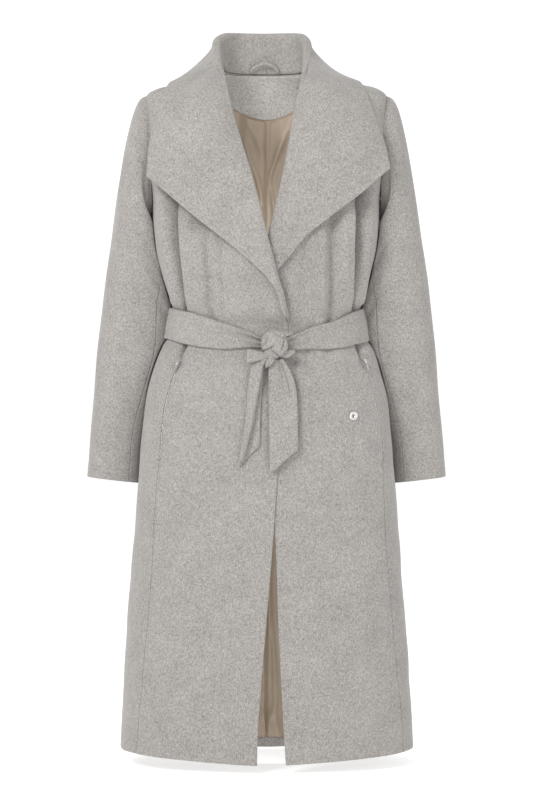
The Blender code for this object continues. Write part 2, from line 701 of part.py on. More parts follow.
# ---------------------------------------------------------------- collar and lapels
# Stations from the middle of the back round to the bottom of the lapel: where the collar is sewn on
# (an angle round the neck, then a height down the front edge), its roll, its outer edge, and the
# radius of the roll. A y of None is taken from the front below.
COLLAR_COLUMNS = (
    "sewn_at", "roll_x", "roll_y", "roll_z", "edge_x", "edge_y", "edge_z", "radius",
)
COLLAR = {
    RIGHT: (
        (180.0, -0.0040, 0.073, 0.0880, 0.0000, 0.118, -0.0450, 0.0060),
        (146.0, -0.0420, 0.068, 0.0880, -0.0800, 0.112, -0.0400, 0.0060),
        (118.0, -0.0690, 0.045, 0.0850, -0.1320, 0.075, -0.0120, 0.0060),
        (96.0, -0.0860, 0.008, 0.0660, -0.1545, 0.020, -0.0030, 0.0060),
        (0.0120, -0.0805, -0.032, 0.0325, -0.1670, -0.067, -0.0300, 0.0062),
        (0.0010, -0.0710, -0.060, 0.0010, -0.1860, -0.084, -0.0840, 0.0062),
        (-0.0690, -0.0550, None, -0.0735, -0.1955, -0.094, -0.1290, 0.0048),
        (-0.1250, -0.0400, None, -0.1250, -0.1985, -0.098, -0.1730, 0.0045),
        (-0.1820, -0.0225, None, -0.1825, -0.1550, -0.117, -0.2105, 0.0042),
        (-0.2350, -0.0095, None, -0.2350, -0.0970, None, -0.2590, 0.0040),
        (-0.2760, 0.0010, None, -0.2767, -0.0500, None, -0.2960, 0.0038),
        (-0.3380, 0.0175, None, -0.3390, 0.0015, None, -0.3440, 0.0034),
        (-0.3690, 0.0272, None, -0.3705, 0.0150, None, -0.3640, 0.0030),
        (-0.4070, 0.0352, None, -0.4075, 0.0255, None, -0.3980, 0.0026),
    ),
    LEFT: (
        (180.0, -0.0040, 0.073, 0.0880, 0.0000, 0.118, -0.0450, 0.0060),
        (146.0, 0.0330, 0.068, 0.0880, 0.0800, 0.112, -0.0400, 0.0060),
        (118.0, 0.0600, 0.044, 0.0835, 0.1280, 0.075, -0.0120, 0.0060),
        (96.0, 0.0695, 0.008, 0.0645, 0.1480, 0.020, -0.0030, 0.0060),
        (0.0120, 0.0655, -0.032, 0.0325, 0.1625, -0.066, -0.0320, 0.0062),
        (0.0010, 0.0605, -0.060, 0.0010, 0.1800, -0.082, -0.0770, 0.0062),
        (-0.0600, 0.0480, None, -0.0625, 0.1960, -0.092, -0.1180, 0.0048),
        (-0.1060, 0.0405, None, -0.1050, 0.2050, -0.096, -0.1595, 0.0045),
        (-0.1560, 0.0310, None, -0.1560, 0.1600, -0.116, -0.1995, 0.0040),
        (-0.2150, 0.0180, None, -0.2150, 0.1040, None, -0.2430, 0.0032),
        (-0.2760, 0.0035, None, -0.2767, 0.0655, None, -0.2740, 0.0027),
        (-0.3190, -0.0060, None, -0.3200, 0.0370, None, -0.3090, 0.0026),
        (-0.3510, -0.0130, None, -0.3520, 0.0120, None, -0.3380, 0.0026),
        (-0.3810, -0.0205, None, -0.3820, -0.0065, None, -0.3690, 0.0026),
    ),
}
NECK_STATIONS = 4  # stations sewn round the neck; the others are sewn down the front edge
CORNER_STATION = 7
NECK_CORNER_AT = 3.45  # where, in stations, the neck seam turns down the front edge
EDGE_LIFT = 0.0065  # middle of the lapel's edge over the front
EDGE_LIFT_UNDER_LAP = 0.0042
ROLL_SHARE = 0.35  # share of the way across taken by the stand and the roll


def lapel_lift(side, at):
    """Height of the middle of the fall over the front: less where the right front laps over it."""
    under_lap = rise(at, 9.0, 10.5) if side == LEFT else 0.0
    return mix(EDGE_LIFT, EDGE_LIFT_UNDER_LAP, under_lap) + 0.0 * at


def collar_stations(side):
    """Roll, outer edge and radius at every station."""
    roll, edge, radius = [], [], []
    for at, row in enumerate(COLLAR[side]):
        station = dict(zip(COLLAR_COLUMNS, row))
        r = station["radius"]
        roll_y, edge_y = station["roll_y"], station["edge_y"]
        if roll_y is None:
            roll_y = front_y(side, station["roll_x"], station["roll_z"]) - (r - DOUBLE / 2)
        if edge_y is None:
            edge_y = front_y(side, station["edge_x"], station["edge_z"]) - lapel_lift(side, at)
        roll.append([station["roll_x"], roll_y, station["roll_z"]])
        edge.append([station["edge_x"], edge_y, station["edge_z"]])
        radius.append(r)
    return [np.array(values, float) for values in (roll, edge, radius)]


def through(values, at):
    """A smooth curve through the stations that keeps the corner of the lapel sharp."""
    knots = np.arange(len(values), dtype=float)
    values = values.reshape(len(values), -1)
    result = np.empty((len(at), values.shape[1]))
    before = at <= CORNER_STATION
    for i, column in enumerate(values.T):
        first, last = slice(0, CORNER_STATION + 1), slice(CORNER_STATION, None)
        result[before, i] = flow(at[before], knots[first], column[first])
        result[~before, i] = flow(at[~before], knots[last], column[last])
    return result


def collar_rows(side, degrees, levels):
    """Rows of half a collar: round the neck by angle, then down the front edge by level.

    Gives where each row is in stations, where it is sewn on, and the way out of the cloth there.
    """
    sewn_at = [row[0] for row in COLLAR[side]]
    corner_angle = side * front_edge_angle(side, np.array(NECK_LEVEL))
    knots = np.radians(sewn_at[:NECK_STATIONS] + [math.degrees(corner_angle)])
    round_angle = np.append(np.radians(degrees), corner_angle)
    stations = np.append(np.arange(NECK_STATIONS), NECK_CORNER_AT)
    round_at = np.interp(-round_angle, -knots, stations)
    neck_out = torso_normal(side * round_angle, np.full(len(round_angle), NECK_LEVEL)) * [1, 1, 0]
    neck_out = unit(neck_out)
    neck = back_body(side * round_angle, np.full(len(round_angle), NECK_LEVEL)) + [0, 0, SEAM]

    level = np.array(levels)
    angle = front_edge_angle(side, level)
    angle = angle - side * SEAM / 2 / np.linalg.norm(torso(angle, level)[..., :2], axis=-1)
    edge = body(side, angle, level)
    knots = np.array([NECK_LEVEL] + sewn_at[NECK_STATIONS:])
    stations = np.append(NECK_CORNER_AT, np.arange(NECK_STATIONS, len(sewn_at)))
    corner = len(degrees)
    edge_at = np.interp(-edge[:, 2], -knots, stations)
    at = np.concatenate([round_at, edge_at])
    edge_out = torso_normal(angle, level)
    upright = unit(edge_out * [1, 1, 0])
    edge_out = unit(mix(upright, edge_out, rise(edge_at, 4.6, 6.2)[:, None]))
    out = np.concatenate([neck_out, edge_out])
    rows = np.column_stack([at, np.concatenate([neck, edge]) - out * DOUBLE / 2, out])
    # The corner of the neck is short where it is sewn and long where it falls over the shoulder.
    between = (rows[corner : corner + 2] + rows[corner + 1 : corner + 3]) / 2
    rows = np.insert(rows, [corner + 1, corner + 2], between, axis=0)
    return rows[:, 0], rows[:, 1:4], unit(rows[:, 4:7])


def over_body(points):
    """The nearest place of the plain body: its angle and level, the way out, and the height over it."""
    angle = np.arctan2(points[:, 0], -points[:, 1])
    level = np.clip(points[:, 2], -1.0, NECK_LEVEL)
    small = 1e-4
    for _ in range(8):
        away = points - torso(angle, level)
        side_way = (torso(angle + small, level) - torso(angle - small, level)) / (2 * small)
        up_way = (torso(angle, level + small) - torso(angle, level - small)) / (2 * small)
        a, b, c = (side_way**2).sum(-1), (side_way * up_way).sum(-1), (up_way**2).sum(-1)
        p, q = (away * side_way).sum(-1), (away * up_way).sum(-1)
        scale = np.maximum(a * c - b * b, 1e-9)
        angle = angle + np.clip((p * c - q * b) / scale, -0.15, 0.15)
        level = np.clip(level + np.clip((q * a - p * b) / scale, -0.02, 0.02), -1.0, NECK_LEVEL)
    out = torso_normal(angle, level)
    return angle, level, out, ((points - torso(angle, level)) * out).sum(-1)


def softly(value, limit, width=0.0015):
    """The value, held above the limit without a kink."""
    return (value + limit + np.sqrt((value - limit) ** 2 + width**2)) / 2


def collar_middle(side, rows, across):
    """Middle surface of half a collar: up the stand, over the roll and down to the edge."""
    at, sewn, out = rows
    roll, edge, radius = (through(part, at) for part in collar_stations(side))
    on_front = front_y(side, roll[:, 0], roll[:, 2]) - (radius[:, 0] - DOUBLE / 2)
    roll[:, 1] = mix(roll[:, 1], on_front, rise(at, 4.3, 5.0))
    up = roll - sewn
    up = unit(up - out * (out * up).sum(-1, keepdims=True))
    centre = roll - up * radius
    foot, top = centre - out * radius, centre + out * radius
    reach = np.linalg.norm(edge - top, axis=-1, keepdims=True)
    leave, arrive = -up * reach * 0.7, (edge - top) * 0.9
    # Where it crosses from the shoulder to the chest, the fall rounds outward.
    bulge = reach * (0.15 * rise(at, 3.2, 4.4) * (1 - rise(at, 6.5, 9.0)))[:, None]
    stand_share, turn_share = ROLL_SHARE * 0.4, ROLL_SHARE
    edge_lift = lapel_lift(side, at)
    grid = []
    for share in across:
        if share <= stand_share:
            point = mix(sewn, foot, share / stand_share)
        elif share <= turn_share:
            turn = math.pi * (share - stand_share) / (turn_share - stand_share)
            point = centre - out * radius * math.cos(turn) + up * radius * math.sin(turn)
        else:
            t = (share - turn_share) / (1 - turn_share)
            point = (
                (1 + 2 * t) * (1 - t) ** 2 * top
                + t * (1 - t) ** 2 * leave
                + t * t * (3 - 2 * t) * edge
                - t * t * (1 - t) * arrive
                + out * bulge * 4 * t * (1 - t)
            )
            # The fall never sinks into the shoulder or the front under it.
            angle, level, way_out, height = over_body(point)
            wanted = mix(2 * radius[:, 0] - DOUBLE / 2, edge_lift, rise(t, 0, 0.4))
            wanted = wanted + lap_lift(side, angle, level) + fold_height(side, angle, level)
            push = softly(height, wanted, 0.003) - height
            point = point + way_out * (push * rise(t, -0.2, 0.15))[:, None]
        grid.append(point)
    return np.stack(grid, 1)


def grid_normal(points, side):
    """Normals of a grid of points, from the differences between neighbours."""
    along = np.gradient(points, axis=0)
    across = np.gradient(points, axis=1)
    return side * unit(np.cross(along, across))


# The collar keeps to the columns of the back and to the rows of the fronts, which it is sewn to.
COLLAR_DEGREES = 180 - 90 * BACK_SHARES[BACK_SHARES >= 0]
COLLAR_END_LEVEL = {RIGHT: -0.372, LEFT: -0.350}
COLLAR_ACROSS = (0, 0.14, 0.21, 0.28, 0.35, 0.48, 0.64, 0.82, 1)


def make_collar(side):
    levels = [level for level in LEVELS if COLLAR_END_LEVEL[side] <= level < NECK_LEVEL]
    rows = collar_rows(side, COLLAR_DEGREES, levels)
    middle = collar_middle(side, rows, COLLAR_ACROSS)
    normal = grid_normal(middle, side)
    facing = np.sign((normal[:, 0] * rows[2]).sum(-1, keepdims=True))
    normal[:, 0] = rows[2] * facing
    middle[0, :, 0] = side * SEAM / 2
    normal[0, :, 0] = 0
    normal[0] = unit(normal[0])
    wall(
        f"collar_{SIDE_NAMES[side]}",
        middle + normal * DOUBLE / 2,
        middle - normal * DOUBLE / 2,
        wool(),
    )


# ---------------------------------------------------------------- belt
BELT_COLUMNS = ("degrees", "middle_z", "half_height")
BELT = columns(
    (
        (-180.0, -0.4140, 0.0285),
        (-100.0, -0.4140, 0.0285),
        (-80.0, -0.4150, 0.0265),
        (-60.0, -0.4240, 0.0280),
        (-36.0, -0.4380, 0.0220),
        (-15.0, -0.4445, 0.0130),
        (-3.0, -0.4500, 0.0085),
        (14.0, -0.4510, 0.0085),
        (21.0, -0.4500, 0.0115),
        (36.5, -0.4420, 0.0180),
        (51.0, -0.4370, 0.0230),
        (72.0, -0.4215, 0.0285),
        (100.0, -0.4150, 0.0285),
        (180.0, -0.4140, 0.0285),
    ),
    BELT_COLUMNS,
)
BELT_DEGREES = (
    -180, -167, -154, -142, -132, -123, -115, -107, -99, -91, -83, -75, -67, -60, -53, -44, -33,
    -22, -12, -3, 6, 14, 22, 33, 44, 53, 60, 67, 75, 83, 91, 99, 107, 115, 123, 132, 142, 154, 167,
)
BELT_CLEAR = 0.0017


def at_height(angle, z):
    """The level whose row passes this height at this angle."""
    level = np.array(z, float)
    for _ in range(8):
        level = z - bend(angle, level)
    return level


def belt_point(angle, z, lift):
    """A place over the body where the belt runs, clear of the lap of the fronts."""
    level = at_height(angle, z)
    x = torso(angle, level)[..., 0]
    lap = (CLOTH + CLEAR) * rise(x, -0.085, -0.045) * (1 - rise(x, 0.045, 0.085))
    return torso(angle, level) + torso_normal(angle, level) * (lap + BELT_CLEAR + lift)[..., None]


def make_belt_band():
    angle = np.radians(np.array(BELT_DEGREES, float))
    degrees = np.degrees(angle)
    middle = flow(degrees, BELT["degrees"], BELT["middle_z"])
    half = flow(degrees, BELT["degrees"], BELT["half_height"])
    outer, inner = [], []
    for share, fullness in ((1.0, 0.0), (0.0, 0.0012), (-1.0, 0.0)):
        z = middle + half * share
        outer.append(belt_point(angle, z, np.full(len(angle), DOUBLE + fullness)))
        inner.append(belt_point(angle, z, np.full(len(angle), 0.0)))
    wall("belt_band", np.array(outer), np.array(inner), wool(), around=True)


KNOT_CENTRE = (0.0122, -0.1286, -0.4545)
KNOT_HALF = (0.0262, 0.0145, 0.0225)


def make_knot():
    """The knot: one soft lump, with a groove between its wraps."""
    rows, cols = 7, 14
    tilt = np.linspace(0, math.pi, rows + 2)[1:-1]
    turn = np.arange(cols) * 2 * math.pi / cols
    tilt, turn = np.meshgrid(tilt, turn, indexing="ij")
    power = 2 / 2.5

    def squared(value):
        return np.sign(value) * np.abs(value) ** power

    x = squared(np.cos(tilt))
    y = squared(np.sin(tilt)) * squared(np.sin(turn))
    z = squared(np.sin(tilt)) * squared(np.cos(turn))
    groove = 1 - 0.05 * np.exp(-(((x * 0.75 + z - 0.35) / 0.16) ** 2))
    points = np.stack([x, y, z], -1) * groove[..., None] * KNOT_HALF + KNOT_CENTRE
    ends = np.array([[1.0, 0, 0], [-1.0, 0, 0]]) * KNOT_HALF + KNOT_CENTRE
    closed_tube("belt_knot", points, ends, wool())


# Tails of the belt: down the middle of each, with its half width there.
TAIL_COLUMNS = ("z", "left_x", "right_x", "lift")
NARROW_TAIL = columns(
    (
        (-0.4767, -0.0180, 0.0040, 0.0190),
        (-0.4900, -0.0250, -0.0040, 0.0140),
        (-0.5211, -0.0300, -0.0070, 0.0090),
        (-0.5604, -0.0330, -0.0095, 0.0080),
        (-0.5900, -0.0360, -0.0105, 0.0080),
        (-0.6160, -0.0400, -0.0108, 0.0080),
        (-0.6360, -0.0430, -0.0290, 0.0080),
        (-0.6515, -0.0465, -0.0425, 0.0080),
    ),
    TAIL_COLUMNS,
)
BROAD_TAIL = columns(
    (
        (-0.4782, 0.0060, 0.0270, 0.0190),
        (-0.4961, 0.0030, 0.0380, 0.0140),
        (-0.5200, 0.0030, 0.0470, 0.0090),
        (-0.5388, 0.0032, 0.0500, 0.0080),
        (-0.5743, 0.0038, 0.0515, 0.0080),
        (-0.6000, 0.0042, 0.0518, 0.0080),
        (-0.6225, 0.0045, 0.0520, 0.0080),
        (-0.6420, 0.0047, 0.0320, 0.0080),
        (-0.6615, 0.0055, 0.0112, 0.0080),
    ),
    TAIL_COLUMNS,
)


def make_tail(name, table):
    z = np.array(sorted(table["z"], reverse=True))
    left = flow(z, table["z"], table["left_x"])
    right = flow(z, table["z"], table["right_x"])
    lift = flow(z, table["z"], table["lift"])
    share = np.array([0.0, 0.25, 0.5, 0.75, 1.0])
    x = left[:, None] + (right - left)[:, None] * share
    bow = (0.0035 * (z + 0.479 > -0.02) + 0.0015)[:, None] * np.sin(math.pi * share)
    rows = np.repeat(z[:, None], len(share), 1)
    surface = front_point(RIGHT, np.minimum(x, 0.03), rows, 0.0)
    surface[..., 0] = x
    outer = surface + np.array([0, -1, 0]) * (lift[:, None] + bow)[..., None]
    inner = outer + np.array([0, DOUBLE, 0])
    wall(name, outer, inner, wool())


# ---------------------------------------------------------------- inside
FACING_DEPTH = 0.068  # how far the back facing hangs below the neck at the middle
FACING_THICK = 0.0020
INSIDE_SHARES = BACK_SHARES[1:-1]  # the pieces inside the back keep to its columns
FACING_LIFT = -CLOTH - CLEAR - 0.0005
LINING_LIFT = FACING_LIFT - 0.0008
HEM_TURN_LEVEL = -1.1135
FACING_LEVELS = (0.011, 0.003, -0.006, -0.014, -0.020, -0.027, -0.037)
LINING_LEVELS = (
    -0.080, -0.115, -0.150, -0.210, -0.285, -0.350, -0.388, -0.414, -0.4405, -0.467, -0.492,
    -0.530, -0.585, -0.730, -0.860, -0.990, HEM_TURN_LEVEL,
)


def facing_bottom(share):
    return NECK_LEVEL - FACING_DEPTH - 0.007 + 0.020 * np.abs(share) ** 2


def back_column(share, level):
    """Angle of a column of the back at a level."""
    return math.pi - (math.pi - back_outer_angle(level)) * share


def inside_patch(level, share, lift, thick):
    share = np.broadcast_to(share, level.shape)
    angle = back_column(share, level)
    return back_body(angle, level, lift), back_body(angle, level, lift - thick)


def level_rows(levels, share):
    return np.repeat(np.array(levels)[:, None], len(share), 1)


def make_inside():
    share = INSIDE_SHARES
    level = np.concatenate([level_rows(FACING_LEVELS, share), facing_bottom(share)[None]])
    outer, inner = inside_patch(level, share, FACING_LIFT, FACING_THICK)
    wall("neck_facing", outer, inner, wool())
    path = (outer[-1] + inner[-1]) / 2 - [0, 0, 0.0018]
    sweep("neck_piping", path, 0.0012, 6, satin())
    for side in (RIGHT, LEFT):
        half = side * INSIDE_SHARES[INSIDE_SHARES >= -1e-9]
        top = (facing_bottom(half) - 0.0040)[None]
        level = np.concatenate([top, level_rows(LINING_LEVELS, half)])
        outer, inner = inside_patch(level, half, LINING_LIFT, LINING)
        for sheet in (outer, inner):
            sheet[:, 0, 0] = side * SEAM / 2
        wall(f"lining_back_{SIDE_NAMES[side]}", outer, inner, satin())
    level = level_rows((HEM_TURN_LEVEL - 0.0006, HEM_LEVEL), share)
    outer, inner = inside_patch(level, share, -CLOTH - SEAM, FACING_THICK)
    wall("hem_facing", outer, inner, wool())


LOOP_RADIUS = 0.0022


def make_hanger_loop():
    """A round loop whose ends are sewn on at the foot of the collar's stand."""
    t = np.linspace(0, 1, 9)
    x = mix(-0.0270, 0.0205, t)
    rise_up = np.sin(math.pi * t) ** 0.6
    half_width, _, back, _, power = section_at(NECK_LEVEL)
    neck_y = back * (1 - np.abs(x / half_width) ** power) ** (1 / power)
    y = neck_y - DOUBLE - LOOP_RADIUS - 3 * SEAM - 0.0035 * rise_up
    path = np.stack([x, y, 0.0215 + 0.0150 * rise_up], -1)
    sweep("hanger_loop", path, LOOP_RADIUS, 6, wool())


def sweep(name, path, radius, sides, finish):
    """A round cord along a path, with flat ends."""
    along = unit(np.gradient(path, axis=0))
    up = np.tile([0.0, 1.0, 0.0], (len(path), 1))
    one = unit(np.cross(along, up))
    two = np.cross(one, along)
    turn = np.arange(sides) * 2 * math.pi / sides
    ring = one[:, None] * np.cos(turn)[:, None] + two[:, None] * np.sin(turn)[:, None]
    closed_tube(name, path[:, None] + ring * radius, path[[0, -1]], finish)


def closed_tube(name, rings, ends, finish):
    """A closed solid from rings of points and the two points that close its ends."""
    rows, cols = rings.shape[:2]
    points = np.concatenate([rings.reshape(-1, 3), ends])
    at = np.arange(rows * cols).reshape(rows, cols)
    nxt = np.roll(at, -1, 1)
    body_faces = np.stack([at[:-1], nxt[:-1], nxt[1:], at[1:]], -1).reshape(-1, 4).tolist()
    first = np.stack([nxt[0], at[0], np.full(cols, rows * cols)], -1).tolist()
    last = np.stack([at[-1], nxt[-1], np.full(cols, rows * cols + 1)], -1).tolist()
    finish_mesh(name, points, body_faces + first + last, finish)


# ---------------------------------------------------------------- hardware
def frame_on(point, normal, down):
    """A frame at a place on the cloth: X across, Y down the cloth, Z outward."""
    z = unit(np.asarray(normal))
    y = unit(np.asarray(down) - z * np.dot(down, z))
    x = np.cross(y, z)
    return Matrix(
        (
            (x[0], y[0], z[0], point[0]),
            (x[1], y[1], z[1], point[1]),
            (x[2], y[2], z[2], point[2]),
            (0, 0, 0, 1),
        )
    )


# Slider and pull, in the frame of the place they sit at: X across the zip, Y down it, Z outward.
SLIDER_WIDTH = 0.0046
SLIDER_LENGTH = 0.0090
SLIDER_BASE = 0.0003
SLIDER_TOP = 0.0026
BRIDGE_WIDTH = 0.0012
BRIDGE_TOP = 0.0052
BRIDGE_UNDER = 0.0042
BRIDGE_REACH = 0.0034  # half of the bridge's length
BRIDGE_POST = 0.0010
PIVOT_UP = 0.0034
PULL_WIDTH = 0.0040
PULL_THICK = 0.0009
PULL_ABOVE = 0.0006  # from the pivot to the top end of the pull
PULL_LENGTH = 0.0165
EYE_WIDTH = 0.0021
EYE_START = 0.0006  # from the pivot to the top of the eye, and to its bottom
EYE_END = 0.0042


def prism(name, outline, half_width, place):
    """A solid from an outline down and out of the zip, with its width across it."""
    count = len(outline)
    sheets = [[(x, y, z) for y, z in outline] for x in (-half_width, half_width)]
    points = np.array(sheets[0] + sheets[1])
    ring = list(range(count))
    faces = [ring, [i + count for i in reversed(ring)]]
    for i in ring:
        after = (i + 1) % count
        faces.append([i, i + count, after + count, after])
    made = finish_mesh(name, points, faces, silver())
    made.matrix_world = place
    return made


def make_slider(name, place):
    """A flat block, narrower at its ends, with a bridge over it for the eye of the pull."""
    half = SLIDER_LENGTH / 2
    low, high, slope = SLIDER_BASE, SLIDER_TOP, 0.0008
    block_outline = (
        (-half, low), (half, low), (half, high - slope), (half - slope, high),
        (-half + slope, high), (-half, high - slope),
    )
    slider = prism(name, block_outline, SLIDER_WIDTH / 2, place)
    reach, post, foot = BRIDGE_REACH, BRIDGE_POST, SLIDER_TOP - 0.0007
    bridge_outline = (
        (-reach, foot), (-reach + post, foot), (-reach + post, BRIDGE_UNDER),
        (reach - post, BRIDGE_UNDER), (reach - post, foot), (reach, foot),
        (reach, BRIDGE_UNDER + 0.0003), (reach - 0.0007, BRIDGE_TOP),
        (-reach + 0.0007, BRIDGE_TOP), (-reach, BRIDGE_UNDER + 0.0003),
    )
    bridge = prism(f"{name}_bridge", bridge_outline, BRIDGE_WIDTH / 2, place)
    bridge.hide_render = True
    bridge.display_type = "WIRE"
    joined = slider.modifiers.new("bridge", "BOOLEAN")
    joined.operation = "UNION"
    joined.solver = "EXACT"
    joined.object = bridge


def rounded(half_x, low_y, high_y, radius, steps=3):
    """A rounded rectangle, as points round it from its lower right corner."""
    points = []
    corners = (
        (half_x - radius, low_y + radius, -90),
        (half_x - radius, high_y - radius, 0),
        (-half_x + radius, high_y - radius, 90),
        (-half_x + radius, low_y + radius, 180),
    )
    for x, y, start in corners:
        for step in range(steps + 1):
            turn = math.radians(start + 90 * step / steps)
            points.append((x + radius * math.cos(turn), y + radius * math.sin(turn)))
    return np.array(points)


def make_pull(name, pivot):
    """A slim flat tab with an eye at its top. It turns about the X axis of its own frame."""
    outline = rounded(PULL_WIDTH / 2, -PULL_ABOVE, PULL_LENGTH, 0.0005)
    eye = rounded(EYE_WIDTH / 2, EYE_START, EYE_END, 0.0004)
    count = len(outline)
    half = PULL_THICK / 2
    sheets = []
    for ring, z in ((outline, half), (eye, half), (eye, -half), (outline, -half)):
        sheets.append(np.column_stack([ring, np.full(count, z)]))
    at = np.arange(4 * count).reshape(4, count)
    at = np.concatenate([at, at[:1]])
    pull = finish_mesh(name, np.concatenate(sheets), grid_faces(at, True).tolist(), silver())
    pull.matrix_world = pivot


SNAP_X = 0.1435
SNAP_Z = -0.5705
# Half a section of the snap: radius and height over its base.
SNAP_SECTION = (
    (0.0025, 0.0000), (0.0025, 0.0016), (0.0031, 0.0022), (0.0042, 0.0022), (0.0049, 0.0013),
    (0.0057, 0.0013), (0.0064, 0.0024), (0.0070, 0.0023), (0.0076, 0.0013), (0.0076, 0.0000),
)
SNAP_STEPS = 20


def make_snap():
    here = front_point(LEFT, SNAP_X, SNAP_Z)
    side_way = front_point(LEFT, SNAP_X + 0.006, SNAP_Z) - front_point(LEFT, SNAP_X - 0.006, SNAP_Z)
    down = front_point(LEFT, SNAP_X, SNAP_Z - 0.006) - front_point(LEFT, SNAP_X, SNAP_Z + 0.006)
    place = frame_on(here, np.cross(down, side_way), down)
    turn = np.arange(SNAP_STEPS) * 2 * math.pi / SNAP_STEPS
    points = []
    for radius, height in SNAP_SECTION:
        for angle in turn:
            x, y = radius * math.cos(angle), radius * math.sin(angle)
            points.append((x, y, height))
    at = np.arange(len(points)).reshape(len(SNAP_SECTION), SNAP_STEPS)
    at = np.concatenate([at, at[:1]])
    snap = finish_mesh("snap_ring", np.array(points), grid_faces(at, True).tolist(), silver())
    snap.matrix_world = place


def pocket_place(side, level):
    """A place on the pocket seam, with its outward and its downward direction."""
    level = np.asarray(level, float)
    angle = side * pocket_seam_angle(side, level)
    below = side * pocket_seam_angle(side, level - 0.004)
    down = body(side, below, level - 0.004) - body(side, angle, level)
    round_it = body(side, angle + 0.02, level) - body(side, angle - 0.02, level)
    return body(side, angle, level), np.cross(down, round_it), down


def make_zip(side):
    name = SIDE_NAMES[side]
    level = np.array([row for row in LEVELS if ZIP_BOTTOM_LEVEL < row < ZIP_TOP_LEVEL])
    level[0] -= SEAM
    level[-1] += SEAM
    angle = side * pocket_seam_angle(side, level)
    half = CHAIN_WIDTH / 2 / np.linalg.norm(torso(angle, level)[..., :2], axis=-1)
    columns_at = np.stack([angle - side * half, angle + side * half], -1)
    rows = np.repeat(level[:, None], 2, 1)
    outer = body(side, columns_at, rows, -0.0004)
    inner = body(side, columns_at, rows, -0.0004 - CHAIN_THICK)
    wall(f"pocket_zip_{name}", outer, inner, silver())
    place = frame_on(*pocket_place(side, ZIP_TOP_LEVEL - 0.005))
    make_slider(f"zip_slider_{name}", place)
    make_pull(f"zip_pull_{name}", place @ Matrix.Translation((0, 0, PIVOT_UP)))


def main():
    for old in list(bpy.data.objects):
        bpy.data.objects.remove(old)
    coat = bpy.data.collections.new("overcoat")
    bpy.context.scene.collection.children.link(coat)
    for side in (RIGHT, LEFT):
        make_front(side)
        make_side(side)
        make_sleeve(side)
        make_collar(side)
        make_zip(side)
    make_back()
    make_inside()
    make_hanger_loop()
    make_belt_band()
    make_knot()
    make_tail("belt_tail_narrow", NARROW_TAIL)
    make_tail("belt_tail_broad", BROAD_TAIL)
    make_snap()


main()
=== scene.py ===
"""The looks of the belted wrap overcoat: brushed wool, satin lining, zips, knot and stitching.

Metres, +Z up, the front towards -Y and the wearer's left towards +X. The body is a stack of rounded
sections. A place on it is an angle round the vertical axis, 0 at the middle of the front, and a level,
its height before the belt and the hem bend the rows. Each cloth piece is a thin shell on that surface.
"""

import math

import bpy
import numpy as np
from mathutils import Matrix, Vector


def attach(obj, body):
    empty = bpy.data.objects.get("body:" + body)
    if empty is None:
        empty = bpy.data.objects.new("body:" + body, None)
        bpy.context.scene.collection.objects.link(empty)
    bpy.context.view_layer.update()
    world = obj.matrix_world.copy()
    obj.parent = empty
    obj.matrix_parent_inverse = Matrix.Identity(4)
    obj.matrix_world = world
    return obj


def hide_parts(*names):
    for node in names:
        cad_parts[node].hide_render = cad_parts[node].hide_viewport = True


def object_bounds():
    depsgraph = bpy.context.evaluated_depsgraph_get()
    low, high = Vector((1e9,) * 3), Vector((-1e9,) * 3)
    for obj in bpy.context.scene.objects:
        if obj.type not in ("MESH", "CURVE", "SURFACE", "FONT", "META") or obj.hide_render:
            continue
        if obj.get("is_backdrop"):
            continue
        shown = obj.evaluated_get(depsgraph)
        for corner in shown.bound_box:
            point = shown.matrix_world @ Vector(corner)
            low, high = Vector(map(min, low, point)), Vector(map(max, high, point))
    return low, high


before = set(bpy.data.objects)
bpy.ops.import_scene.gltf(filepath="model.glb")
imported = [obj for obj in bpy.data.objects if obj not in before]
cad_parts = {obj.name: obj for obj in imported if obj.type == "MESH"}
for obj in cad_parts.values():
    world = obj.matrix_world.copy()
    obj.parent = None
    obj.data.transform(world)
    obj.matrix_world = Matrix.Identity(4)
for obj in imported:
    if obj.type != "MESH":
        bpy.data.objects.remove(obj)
cad_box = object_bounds()

# ---------------------------------------------------------------- sizes
CLOTH = 0.0025  # one layer of coating wool
DOUBLE = 0.0040  # two layers, pressed: collar and belt
LINING = 0.0010
FACING = 0.0020
SEAM = 0.0003  # what two pieces keep between them where they are sewn
CLEAR = 0.0010  # between layers that lie on each other
EDGE_RADIUS = 0.0019  # how far in a panel's edge starts to round over
COLLAR_EDGE_RADIUS = 0.0026
BELT_EDGE_RADIUS = 0.0024
TAIL_EDGE_RADIUS = 0.0022
LAP_OVER_LAPEL = 0.0125  # how high the right front passes over the left lapel
NECK_LEVEL = 0.018  # neck seam, and the top of the body panels
TIP_LEVEL = -0.027  # shoulder tip, and the top of the armhole
NOTCH_LEVEL = -0.150  # where the side seams run into the armhole
SIDE_FULL_LEVEL = -0.285  # below it the side panel's rows are the other panels'
HEM_LEVEL = -1.131
HEM_TURN_LEVEL = -1.1135
HEM_DIP_FRONT = 0.012
HEM_DIP_BACK = 0.022
HEM_PULL_LEVEL = -0.95  # how far up the hem's dip bends the rows
ZIP_TOP_LEVEL = -0.468
ZIP_BOTTOM_LEVEL = -0.645
ZIP_OPENING = 0.0030
BELT_BOTTOM_LEVEL = -0.4405
BELT_DIP = 0.036  # how much lower the belt is at the knot than at the sides
BELT_CLEAR = 0.0017
